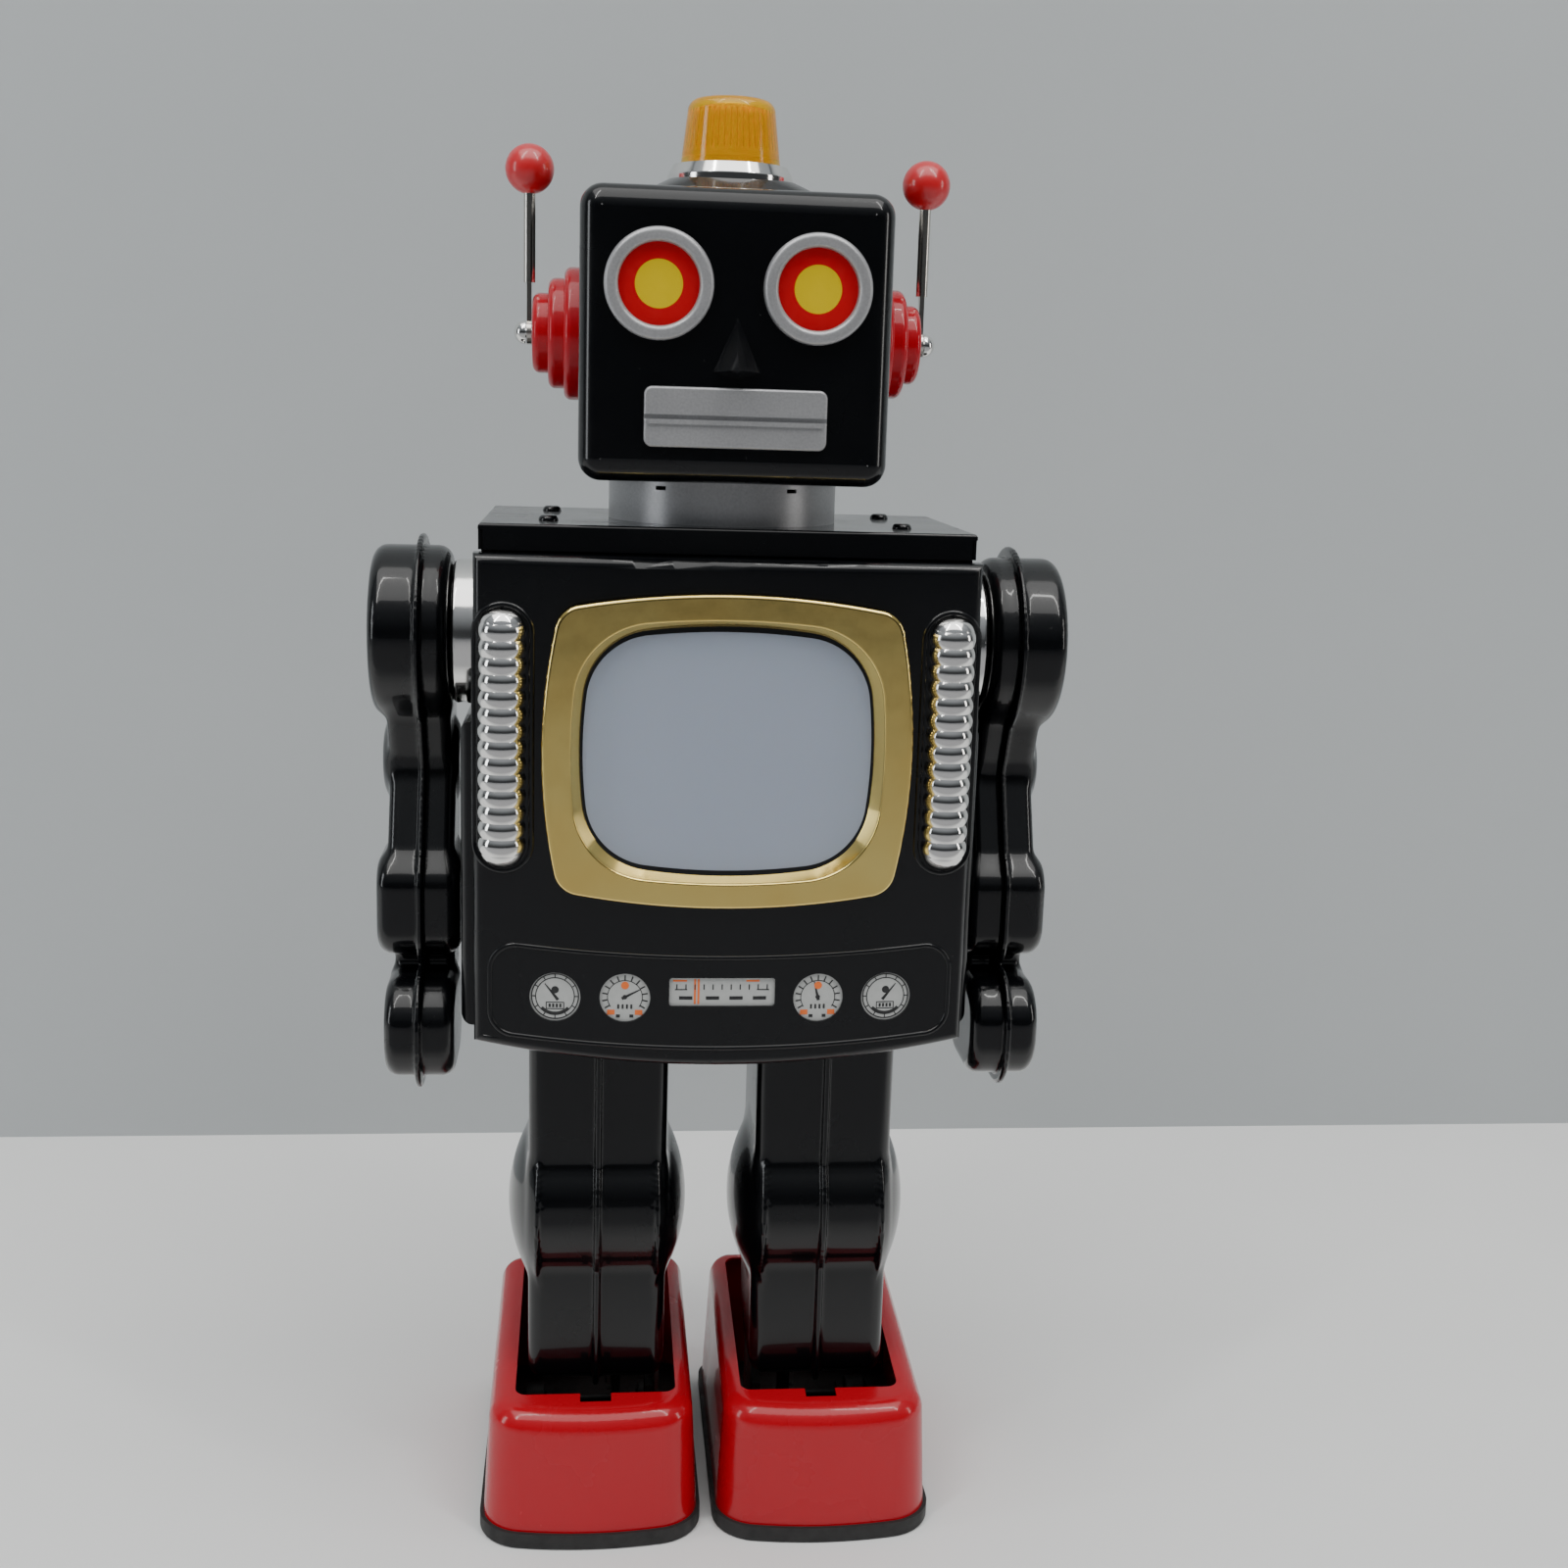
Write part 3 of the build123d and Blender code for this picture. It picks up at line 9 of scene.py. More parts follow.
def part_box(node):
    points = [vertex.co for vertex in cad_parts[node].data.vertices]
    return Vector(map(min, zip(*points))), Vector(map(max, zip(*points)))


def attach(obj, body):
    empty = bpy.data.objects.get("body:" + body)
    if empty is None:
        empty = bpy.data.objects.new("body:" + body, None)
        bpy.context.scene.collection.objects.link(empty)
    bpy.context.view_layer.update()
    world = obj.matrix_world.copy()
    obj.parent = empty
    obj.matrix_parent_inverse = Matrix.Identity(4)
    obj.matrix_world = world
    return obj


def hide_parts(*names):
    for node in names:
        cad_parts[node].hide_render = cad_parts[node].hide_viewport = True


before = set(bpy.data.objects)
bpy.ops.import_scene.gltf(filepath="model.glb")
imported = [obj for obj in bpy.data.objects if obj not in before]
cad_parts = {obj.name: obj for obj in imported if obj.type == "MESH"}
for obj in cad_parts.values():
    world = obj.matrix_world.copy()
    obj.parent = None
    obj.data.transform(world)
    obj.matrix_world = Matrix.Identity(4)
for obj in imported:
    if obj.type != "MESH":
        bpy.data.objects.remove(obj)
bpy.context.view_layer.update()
MM = 0.001

# ---------------------------------------------------------------- camera
# The view of someone who sits in front of the toy and looks a little down on it, from a bit
# left of the middle: tipped down and rolled slightly.
eye_place = Vector((-0.03318, -0.49702, 0.30507))
pitch, turn, roll = 0.20225, 0.10414, 0.03102
forward = Vector((math.sin(turn) * math.cos(pitch), math.cos(turn) * math.cos(pitch), -math.sin(pitch)))
level = Vector((math.cos(turn), -math.sin(turn), 0))
upward = level.cross(forward)
right = math.cos(roll) * level + math.sin(roll) * upward
upright = math.cos(roll) * upward - math.sin(roll) * level
camera = bpy.data.objects.new("camera", bpy.data.cameras.new("camera"))
bpy.context.scene.collection.objects.link(camera)
camera.matrix_world = Matrix((
    (right.x, upright.x, -forward.x, eye_place.x),
    (right.y, upright.y, -forward.y, eye_place.y),
    (right.z, upright.z, -forward.z, eye_place.z),
    (0, 0, 0, 1)))
camera.data.sensor_width = 36
camera.data.lens = 42.84
camera.data.clip_start = 0.01
bpy.context.scene.camera = camera

# ---------------------------------------------------------------- floor and backdrop
# A pale table top and a grey studio wall behind the toy. The wall is clear from its back,
# so that it hides nothing of the toy when it is seen from behind. The table's near side is
# painted darker for reflected rays only, a painted shade that the enamel mirrors, as if the table ended
# there.


def colour_mix(tree, factor, low, high):
    """Mix node between two plain colours, driven by a factor output."""
    mix = tree.nodes.new("ShaderNodeMix")
    mix.data_type = "RGBA"
    mix.inputs[6].default_value = (*low, 1)
    mix.inputs[7].default_value = (*high, 1)
    tree.links.new(factor, mix.inputs[0])
    return mix.outputs[2]


def noise(tree, scale, detail=3.0, stretch=(1, 1, 1)):
    """Noise in the piece's own space; the scale counts features along a metre."""
    place = tree.nodes.new("ShaderNodeTexCoord")
    mapping = tree.nodes.new("ShaderNodeMapping")
    mapping.inputs["Scale"].default_value = stretch
    tree.links.new(place.outputs["Object"], mapping.inputs["Vector"])
    grain = tree.nodes.new("ShaderNodeTexNoise")
    grain.inputs["Scale"].default_value = scale
    grain.inputs["Detail"].default_value = detail
    tree.links.new(mapping.outputs["Vector"], grain.inputs["Vector"])
    return grain.outputs["Fac"]


def band(tree, value, low, high, out_low=0.0, out_high=1.0):
    """The range from low to high of a value, stretched over a new range and clamped."""
    spread = tree.nodes.new("ShaderNodeMapRange")
    for socket, number in zip(("From Min", "From Max", "To Min", "To Max"), (low, high, out_low, out_high)):
        spread.inputs[socket].default_value = number
    tree.links.new(value, spread.inputs["Value"])
    return spread.outputs["Result"]


def math_node(tree, operation, *values):
    """Math node on outputs and plain numbers."""
    node = tree.nodes.new("ShaderNodeMath")
    node.operation = operation
    for socket, value in zip(node.inputs, values):
        if isinstance(value, (int, float)):
            socket.default_value = value
        else:
            tree.links.new(value, socket)
    return node.outputs[0]


def bump(tree, height, strength, distance):
    """Bump from a height, joined to the Principled shader's normal."""
    node = tree.nodes.new("ShaderNodeBump")
    node.inputs["Strength"].default_value = strength
    node.inputs["Distance"].default_value = distance
    tree.links.new(height, node.inputs["Height"])
    tree.links.new(node.outputs["Normal"], tree.nodes["Principled BSDF"].inputs["Normal"])


def new_material(name, **sockets):
    """Principled material with plain values on its own sockets; returns it with its tree."""
    material = bpy.data.materials.new(name)
    material.use_nodes = True
    shader = material.node_tree.nodes["Principled BSDF"]
    for socket, value in sockets.items():
        shader.inputs[socket.replace("_", " ")].default_value = value
    return material, material.node_tree, shader


table_top, tree, shader = new_material("table_top", Roughness=0.75)
cloud = noise(tree, 6, 4)
pale = colour_mix(tree, cloud, (0.80, 0.80, 0.79), (0.74, 0.74, 0.735))
position = tree.nodes.new("ShaderNodeSeparateXYZ")
tree.links.new(tree.nodes.new("ShaderNodeNewGeometry").outputs["Position"], position.inputs["Vector"])
in_gloss = tree.nodes.new("ShaderNodeLightPath").outputs["Is Glossy Ray"]
# Painted shade in the reflections: glossy rays see the table's near side painted dark grey, camera rays see
# it pale.
near_side_painted_shade = band(tree, position.outputs["Y"], -0.10, -0.22)
table = colour_mix(tree, math_node(tree, "MULTIPLY", in_gloss, near_side_painted_shade), (0, 0, 0), (0.30, 0.30, 0.31))
tree.links.new(pale, table.node.inputs[6])
tree.links.new(table, shader.inputs["Base Color"])
wall_paper, tree, shader = new_material("wall_paper", Roughness=0.9)
cloud = noise(tree, 3, 3)
tree.links.new(colour_mix(tree, cloud, (0.40, 0.425, 0.435), (0.47, 0.49, 0.50)), shader.inputs["Base Color"])
side_seen = tree.nodes.new("ShaderNodeNewGeometry")
clear = tree.nodes.new("ShaderNodeBsdfTransparent")
one_way = tree.nodes.new("ShaderNodeMixShader")
tree.links.new(side_seen.outputs["Backfacing"], one_way.inputs[0])
tree.links.new(shader.outputs[0], one_way.inputs[1])
tree.links.new(clear.outputs[0], one_way.inputs[2])
tree.links.new(one_way.outputs[0], tree.nodes["Material Output"].inputs["Surface"])


def sheet(name, corners, material):
    """Flat four-cornered backdrop sheet."""
    mesh = bpy.data.meshes.new(name)
    mesh.from_pydata(corners, [], [(0, 1, 2, 3)])
    mesh.materials.append(material)
    made = bpy.data.objects.new(name, mesh)
    bpy.context.scene.collection.objects.link(made)


wall_y, room = 0.25, 3
sheet("floor", [(-room, -room, 0), (room, -room, 0), (room, room, 0), (-room, room, 0)], table_top)
sheet("wall", [(-room, wall_y, 0), (room, wall_y, 0), (room, wall_y, room), (-room, wall_y, room)],
      wall_paper)

# ---------------------------------------------------------------- light
# A dim room that grows brighter overhead, two long ceiling tubes that give the enamel its
# narrow highlights, a broad soft panel above and a window on either side.


world = bpy.data.worlds.new("room")
world.use_nodes = True
tree = world.node_tree
place = tree.nodes.new("ShaderNodeTexCoord")
split = tree.nodes.new("ShaderNodeSeparateXYZ")
tree.links.new(place.outputs["Generated"], split.inputs["Vector"])
glow = band(tree, split.outputs["Z"], 0.12, 0.85, 0.05, 0.55)
seen = tree.nodes.new("ShaderNodeLightPath").outputs["Is Camera Ray"]
backdrop_glow = 0.42
backdrop = math_node(tree, "MAXIMUM", glow, math_node(tree, "MULTIPLY", seen, backdrop_glow))
tree.links.new(backdrop, tree.nodes["Background"].inputs["Strength"])
tree.nodes["Background"].inputs["Color"].default_value = (0.80, 0.85, 0.90, 1)
bpy.context.scene.world = world


def lamp(name, place, target, width, height, power, colour):
    """Rectangular soft light that points at a target."""
    light = bpy.data.lights.new(name, "AREA")
    light.shape = "RECTANGLE"
    light.size, light.size_y = width, height
    light.energy, light.color = power, colour
    made = bpy.data.objects.new(name, light)
    made.location = place
    aim = Vector(target) - Vector(place)
    made.rotation_euler = aim.to_track_quat("-Z", "Y").to_euler()
    bpy.context.scene.collection.objects.link(made)


lamp("ceiling_panel", (0, -0.4, 1.9), (0, 0, 0.1), 2.4, 2.0, 38, (1, 0.99, 0.97))
lamp("left_tube", (-0.5, -0.5, 1.3), (0, 0, 0.2), 0.05, 0.9, 3.0, (1, 0.99, 0.96))
lamp("right_tube", (0.5, -0.5, 1.3), (0, 0, 0.2), 0.05, 0.9, 3.0, (1, 0.99, 0.96))
lamp("window", (-1.2, -0.35, 0.45), (0, 0, 0.2), 0.22, 0.7, 2.6, (0.93, 0.97, 1))
lamp("far_window", (1.2, -0.35, 0.45), (0, 0, 0.2), 0.16, 0.6, 1.6, (1, 0.98, 0.95))

# ---------------------------------------------------------------- painted tin
# The skin of the toy is tinplate, sprayed and baked with black enamel: a deep wet gloss
# with a little orange peel and a few specks of dust.


def enamel(name, colour, worn, peel=0.05):
    """Baked enamel: gloss coat, faint orange peel, dust specks and slightly dulled patches."""
    material, tree, shader = new_material(name, Coat_Weight=0.5, Coat_Roughness=0.05,
                                          Specular_IOR_Level=0.2)
    specks = band(tree, noise(tree, 900, 2), 0.74, 0.80)
    tree.links.new(colour_mix(tree, specks, colour, worn), shader.inputs["Base Color"])
    tree.links.new(band(tree, noise(tree, 24, 5), 0.35, 0.7, 0.16, 0.34), shader.inputs["Roughness"])
    bump(tree, noise(tree, 240, 2), peel, 0.0004)
    return material


black_enamel = enamel("black_enamel", (0.0016, 0.0019, 0.0026), (0.02, 0.02, 0.02))
red_enamel = enamel("red_enamel", (0.42, 0.0015, 0.010), (0.50, 0.02, 0.03), 0.03)


def finish(material, *names):
    """Gives CAD nodes their material."""
    for name in names:
        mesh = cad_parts[name].data
        mesh.materials.clear()
        mesh.materials.append(material)


def both(name):
    return "left_" + name, "right_" + name


finish(black_enamel, "head_shell", "head_back", "head_cap", "torso_lid", "torso_shell", "front_panel",
       "side_covers", *both("arm_outer"), *both("arm_inner"), *both("leg_outer"), *both("leg_inner"))
finish(red_enamel, "ears", *both("foot_shell"))

# ---------------------------------------------------------------- silver paint
# Eye rings, mouth and neck are tin sprayed with aluminium paint, satin and finely grained.
silver_paint, tree, shader = new_material("silver_paint", Metallic=0.55, Coat_Weight=0.25, Coat_Roughness=0.3)
grain = noise(tree, 1600, 2)
tree.links.new(colour_mix(tree, grain, (0.30, 0.30, 0.31), (0.46, 0.46, 0.47)), shader.inputs["Base Color"])
tree.links.new(band(tree, noise(tree, 60, 4), 0.3, 0.7, 0.34, 0.46), shader.inputs["Roughness"])
bump(tree, grain, 0.12, 0.0001)
finish(silver_paint, "eye_rings", "mouth_plate", "neck_collar")

# ---------------------------------------------------------------- plating
# Chrome on the lamp ring, side bars and shoulder discs; a thin gilt on the screen's frame.
chrome, tree, shader = new_material("chrome", Metallic=1.0, Base_Color=(0.80, 0.79, 0.77, 1))
tree.links.new(band(tree, noise(tree, 50, 4), 0.3, 0.75, 0.06, 0.17), shader.inputs["Roughness"])
bump(tree, noise(tree, 160, 3), 0.05, 0.0006)
finish(chrome, "lamp_ring", "chrome_bars", "shoulder_discs", "screws")
gilt, tree, shader = new_material("gilt", Metallic=1.0)
tree.links.new(colour_mix(tree, noise(tree, 34, 3), (0.86, 0.56, 0.14), (0.98, 0.82, 0.30)),
               shader.inputs["Base Color"])
tree.links.new(band(tree, noise(tree, 420, 3), 0.3, 0.8, 0.07, 0.18), shader.inputs["Roughness"])
bump(tree, noise(tree, 55, 2), 0.10, 0.0016)
finish(gilt, "tv_bezel")

nickel, tree, shader = new_material("nickel", Metallic=1.0, Base_Color=(0.66, 0.63, 0.58, 1))
tree.links.new(band(tree, noise(tree, 90, 3, (1, 1, 0.1)), 0.3, 0.7, 0.16, 0.30), shader.inputs["Roughness"])
bump(tree, noise(tree, 500, 2, (1, 1, 0.05)), 0.05, 0.0002)
finish(nickel, *both("aerial_rod"))

red_plastic, tree, shader = new_material("red_plastic", Coat_Weight=0.6, Coat_Roughness=0.12)
tree.links.new(colour_mix(tree, noise(tree, 300, 3), (0.50, 0.004, 0.010), (0.56, 0.007, 0.014)),
               shader.inputs["Base Color"])
tree.links.new(band(tree, noise(tree, 120, 4), 0.3, 0.7, 0.28, 0.42), shader.inputs["Roughness"])
finish(red_plastic, *both("aerial_ball"))

opal, tree, shader = new_material("opal", Coat_Weight=0.5, Coat_Roughness=0.18, Subsurface_Weight=0.15)
tree.links.new(colour_mix(tree, noise(tree, 9, 2), (0.30, 0.32, 0.40), (0.345, 0.365, 0.44)),
               shader.inputs["Base Color"])
tree.links.new(band(tree, noise(tree, 200, 3), 0.3, 0.7, 0.34, 0.44), shader.inputs["Roughness"])
finish(opal, "tv_screen")

rubber, tree, shader = new_material("rubber", Base_Color=(0.012, 0.012, 0.012, 1))
tree.links.new(band(tree, noise(tree, 300, 4), 0.3, 0.7, 0.5, 0.75), shader.inputs["Roughness"])
bump(tree, noise(tree, 900, 3), 0.2, 0.0002)
finish(rubber, *both("foot_sole"), *both("foot_rollers"), "battery_box", "battery_door", "switch_knob")

zinc, tree, shader = new_material("zinc", Metallic=1.0, Base_Color=(0.50, 0.50, 0.49, 1))
tree.links.new(band(tree, noise(tree, 120, 4, (1, 0.2, 1)), 0.3, 0.7, 0.28, 0.5), shader.inputs["Roughness"])
finish(zinc, "gearbox_frame", "torso_floor", "crankshaft", "motor", "bulb_holders", "battery_cells",
       *both("arm_shaft"), *both("arm_link"), *both("leg_irons"), *both("foot_link"))

nylon, tree, shader = new_material("nylon", Base_Color=(0.72, 0.70, 0.62, 1))
tree.links.new(band(tree, noise(tree, 200, 4), 0.3, 0.7, 0.4, 0.6), shader.inputs["Roughness"])
finish(nylon, "motor_pinion", "layshaft", "idler_gear", "picture_drum", "dial_card", "eye_discs")

amber, tree, shader = new_material("amber", Transmission_Weight=0.75, IOR=1.45, Roughness=0.08,
                                   Specular_IOR_Level=0.3, Base_Color=(1.0, 0.62, 0.0, 1))
finish(amber, "lamp_lens")
clear_glass, tree, shader = new_material("clear_glass", Transmission_Weight=1.0, IOR=1.45, Roughness=0.02)
finish(clear_glass, "bulbs")

# ---------------------------------------------------------------- eyes
# Printed tin discs in the silver rings: a yellow pupil on bright red.
eye_low, eye_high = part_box("eye_discs")
eye_r = (eye_high.z - eye_low.z) / 2
eye_x, eye_z = eye_high.x - eye_r, (eye_high.z + eye_low.z) / 2
eye_print, tree, shader = new_material("eye_print", Coat_Weight=0.1, Coat_Roughness=0.1,
                                       Specular_IOR_Level=0.25)
place = tree.nodes.new("ShaderNodeTexCoord")
split = tree.nodes.new("ShaderNodeSeparateXYZ")
tree.links.new(place.outputs["Object"], split.inputs["Vector"])
across = math_node(tree, "SUBTRACT", math_node(tree, "ABSOLUTE", split.outputs["X"]), eye_x)
above = math_node(tree, "SUBTRACT", split.outputs["Z"], eye_z)
reach = math_node(tree, "SQRT", math_node(tree, "ADD", math_node(tree, "MULTIPLY", across, across),
                                        math_node(tree, "MULTIPLY", above, above)))
pupil_r, print_blur = eye_r * 0.59, 0.00006
ring = band(tree, reach, pupil_r - print_blur, pupil_r + print_blur)
tree.links.new(colour_mix(tree, ring, (0.64, 0.46, 0.0), (0.48, 0.003, 0.008)), shader.inputs["Base Color"])
tree.links.new(band(tree, noise(tree, 700, 2), 0.3, 0.7, 0.28, 0.40), shader.inputs["Roughness"])
finish(eye_print, "eye_discs")

# ---------------------------------------------------------------- signal lamp
# Amber moulded cup with a clear outer skin. Inside, upright flutes scatter the light of the
# bulb, and they stop short of the plain foot of the cup.
lens_low, lens_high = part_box("lamp_lens")
lens_r, lens_y = lens_high.x, (lens_low.y + lens_high.y) / 2
lens_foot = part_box("lamp_ring")[1].z
amber_core, tree, shader = new_material("amber_core", Coat_Weight=0.15, Coat_Roughness=0.1,
                                        Subsurface_Weight=0.35, Subsurface_Scale=0.004)
tree.links.new(colour_mix(tree, noise(tree, 260, 3), (1.0, 0.42, 0.0), (1.0, 0.58, 0.02)),
               shader.inputs["Base Color"])
tree.links.new(band(tree, noise(tree, 300, 3), 0.3, 0.7, 0.22, 0.36), shader.inputs["Roughness"])
flutes, around, flute_depth = 44, 352, 0.00042
rows = [(lens_r * 0.872, -0.0042, 0), (lens_r * 0.872, 0.0032, 0), (lens_r * 0.868, 0.0042, 1),
        (lens_r * 0.79, 0.0125, 1), (lens_r * 0.74, 0.0136, 0.4), (lens_r * 0.60, 0.0143, 0)]
points = []
for radius, height, depth in rows:
    for n in range(around):
        angle = 2 * math.pi * n / around
        r = radius - depth * flute_depth * (1 - abs(math.cos(flutes * angle / 2)))
        points.append((r * math.cos(angle), lens_y + r * math.sin(angle), lens_foot + height))
last_row = len(rows) - 1
faces = [(k * around + n, k * around + (n + 1) % around,
          (k + 1) * around + (n + 1) % around, (k + 1) * around + n)
         for k in range(last_row) for n in range(around)]
faces += [tuple(range(around))[::-1], tuple(range(last_row * around, len(rows) * around))]
mesh = bpy.data.meshes.new("lamp_flutes")
mesh.from_pydata(points, [], faces)
mesh.materials.append(amber_core)
lamp_flutes = bpy.data.objects.new("lamp_flutes", mesh)
bpy.context.scene.collection.objects.link(lamp_flutes)
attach(lamp_flutes, "chassis")

# ---------------------------------------------------------------- front panel pressings
# A fine raised bead frames the row of dials, and a broader one frames each chrome bar. The
# screen's gilt frame has a moulded bead where its face turns down to the glass.


def surface_y(x, z):
    """How far forward the toy's front is at a place, in metres."""
    found, spot = bpy.context.scene.ray_cast(depsgraph, Vector((x, -0.3, z)), Vector((0, 1, 0)))[:2]
    return spot.y if found else 0


def nodes_input(group, name, kind, value):
    """Input socket on a node tree, with its value."""
    socket = group.interface.new_socket(name, in_out="INPUT", socket_type=kind)
    socket.default_value = value


def baked(name, group, start, material, body, slot, **values):
    """Runs a node tree on a mesh once and keeps the plain result as a piece of a body."""
    holder = bpy.data.objects.new(name, start)
    bpy.context.scene.collection.objects.link(holder)
    modifier = holder.modifiers.new("build", "NODES")
    modifier.node_group = group
    for item in group.interface.items_tree:
        if item.in_out == "INPUT" and item.name in values:
            modifier[item.identifier] = values[item.name]
    holder.data.materials.append(material)
    graph = bpy.context.evaluated_depsgraph_get()
    made = bpy.data.meshes.new_from_object(holder.evaluated_get(graph))
    holder.modifiers.remove(modifier)
    holder.data = made
    holder.data.materials.clear()
    holder.data.materials.append(material)
    if body:
        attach(holder, body)
    return holder


bead_tree = bpy.data.node_groups.new("bead_along_edge", "GeometryNodeTree")
bead_tree.interface.new_socket("Geometry", in_out="INPUT", socket_type="NodeSocketGeometry")
nodes_input(bead_tree, "Radius", "NodeSocketFloat", 0.0006)
nodes_input(bead_tree, "Sides", "NodeSocketInt", 12)
nodes_input(bead_tree, "Finish", "NodeSocketMaterial", None)
bead_tree.interface.new_socket("Geometry", in_out="OUTPUT", socket_type="NodeSocketGeometry")
kinds = ("NodeGroupInput", "GeometryNodeMeshToCurve", "GeometryNodeCurvePrimitiveCircle",
         "GeometryNodeCurveToMesh", "GeometryNodeSetShadeSmooth", "GeometryNodeRealizeInstances",
         "GeometryNodeSetMaterial", "NodeGroupOutput")
into, path, circle, sweep, smooth, real, paint, out = [bead_tree.nodes.new(kind) for kind in kinds]
for start, end in ((into.outputs["Geometry"], path.inputs["Mesh"]), (path.outputs[0], sweep.inputs["Curve"]),
                   (into.outputs["Radius"], circle.inputs["Radius"]),
                   (into.outputs["Sides"], circle.inputs["Resolution"]),
                   (circle.outputs[0], sweep.inputs["Profile Curve"]), (sweep.outputs[0], smooth.inputs[0]),
                   (smooth.outputs[0], real.inputs[0]), (real.outputs[0], paint.inputs["Geometry"]),
                   (into.outputs["Finish"], paint.inputs["Material"]), (paint.outputs[0], out.inputs[0])):
    bead_tree.links.new(start, end)


def bead(name, path_points, radius, material, slot):
    """Closed round bead that follows points on the toy's front."""
    mesh = bpy.data.meshes.new(name)
    count = len(path_points)
    mesh.from_pydata(path_points, [(n, (n + 1) % count) for n in range(count)], [])
    return baked(name, bead_tree, mesh, material, "chassis", slot, Radius=radius, Sides=12, Finish=material)


bead_step = 0.003


def rounded_loop(left, right, low, high, corner, steps=10):
    """Points round a box with round corners; low and high are heights at an x."""
    loop = []
    for (x, edge, dx, dz, first) in ((right, low, -1, 1, -90), (right, high, -1, -1, 0),
                                     (left, high, 1, -1, 90), (left, low, 1, 1, 180)):
        cx, cz = x + dx * corner, edge(x + dx * corner) + dz * corner
        for n in range(steps + 1):
            angle = math.radians(first + 90 * n / steps)
            loop.append((cx + corner * math.cos(angle), cz + corner * math.sin(angle)))
    full = []
    for n, (x, z) in enumerate(loop):
        x2, z2 = loop[(n + 1) % len(loop)]
        full.append((x, z))
        parts = int(math.hypot(x2 - x, z2 - z) / bead_step)
        for k in range(1, parts):
            mx = x + (x2 - x) * k / parts
            mz = z + (z2 - z) * k / parts
            flat = abs(z2 - z) < abs(x2 - x)
            full.append((mx, (low if mz < (low(mx) + high(mx)) / 2 else high)(mx) if flat else mz))
    return full


depsgraph = bpy.context.evaluated_depsgraph_get()
panel_low, panel_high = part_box("front_panel")
card_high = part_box("dial_card")[1]
frame_half, frame_corner = panel_high.x - 0.0041, 0.0065
low_margin, low_bow = 0.0052, 0.0038
high_margin, high_bow = 0.0023, 0.0035
frame_path = rounded_loop(-frame_half, frame_half,
                          lambda x: panel_low.z + low_margin + low_bow * (x / frame_half) ** 2,
                          lambda x: card_high.z + high_margin + high_bow * (x / frame_half) ** 2,
                          frame_corner)
frame_sink, frame_r = 0.0002, 0.0007
bead("dial_frame_bead", [(x, surface_y(x, z) + frame_sink, z) for x, z in frame_path], frame_r,
     black_enamel, "black_enamel")
bar_low, bar_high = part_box("chrome_bars")
bar_wide, rim_gap, rim_gap_out = 0.0124, 0.0010, 0.0006
rim_sink, rim_r = 0.0003, 0.0008
rim_in, rim_out = bar_high.x - bar_wide - rim_gap, bar_high.x + rim_gap_out
for side, sign in (("left", 1), ("right", -1)):
    rim = rounded_loop(rim_in, rim_out, lambda x: bar_low.z - rim_gap, lambda x: bar_high.z + rim_gap,
                       (rim_out - rim_in) / 2 - 0.00001)
    bead(side + "_bar_rim", [(sign * x, surface_y(sign * x, z) + rim_sink, z) for x, z in rim], rim_r,
         black_enamel, "black_enamel")

bezel_low, bezel_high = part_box("tv_bezel")
middle_z = (bezel_low.z + bezel_high.z) / 2
gilt_bead_r, edge_search, face_play = 0.0006, (0.030, 0.0435), 0.00003


def gilt_edge(inner, outer, wanted, around=180, halvings=14):
    """Loop on the gilt frame, out from the middle to where its front meets the wanted test."""
    loop = []
    for n in range(around):
        angle = 2 * math.pi * n / around
        dx, dz = math.cos(angle), math.sin(angle)
        near, far_out = inner, outer
        for _ in range(halvings):
            half = (near + far_out) / 2
            if wanted(surface_y(half * dx, middle_z + half * dz)):
                far_out = half
            else:
                near = half
        loop.append((far_out * dx, bezel_low.y + gilt_bead_r, middle_z + far_out * dz))
    return loop


bead("gilt_inner_bead", gilt_edge(*edge_search, lambda y: y < bezel_low.y + face_play), gilt_bead_r, gilt,
     "gilt")

# ---------------------------------------------------------------- printed dials
# The card behind the panel windows is printed in black and orange: two clock-like gauges
# on each side and a tuning scale between them. The ink lies a hair above the card.
card, tree, shader = new_material("card", Coat_Weight=0.3, Coat_Roughness=0.2)
tree.links.new(colour_mix(tree, noise(tree, 500, 3), (0.40, 0.41, 0.40), (0.47, 0.475, 0.465)),
               shader.inputs["Base Color"])
tree.links.new(band(tree, noise(tree, 300, 3), 0.3, 0.7, 0.36, 0.5), shader.inputs["Roughness"])
finish(card, "dial_card")
black_ink, tree, shader = new_material("black_ink", Coat_Weight=0.2)
tree.links.new(colour_mix(tree, noise(tree, 900, 3), (0.008, 0.008, 0.009), (0.03, 0.03, 0.03)),
               shader.inputs["Base Color"])
tree.links.new(band(tree, noise(tree, 400, 3), 0.3, 0.7, 0.38, 0.5), shader.inputs["Roughness"])
orange_ink, tree, shader = new_material("orange_ink", Coat_Weight=0.2)
tree.links.new(colour_mix(tree, noise(tree, 900, 3), (0.78, 0.13, 0.015), (0.86, 0.19, 0.03)),
               shader.inputs["Base Color"])
tree.links.new(band(tree, noise(tree, 400, 3), 0.3, 0.7, 0.38, 0.5), shader.inputs["Roughness"])

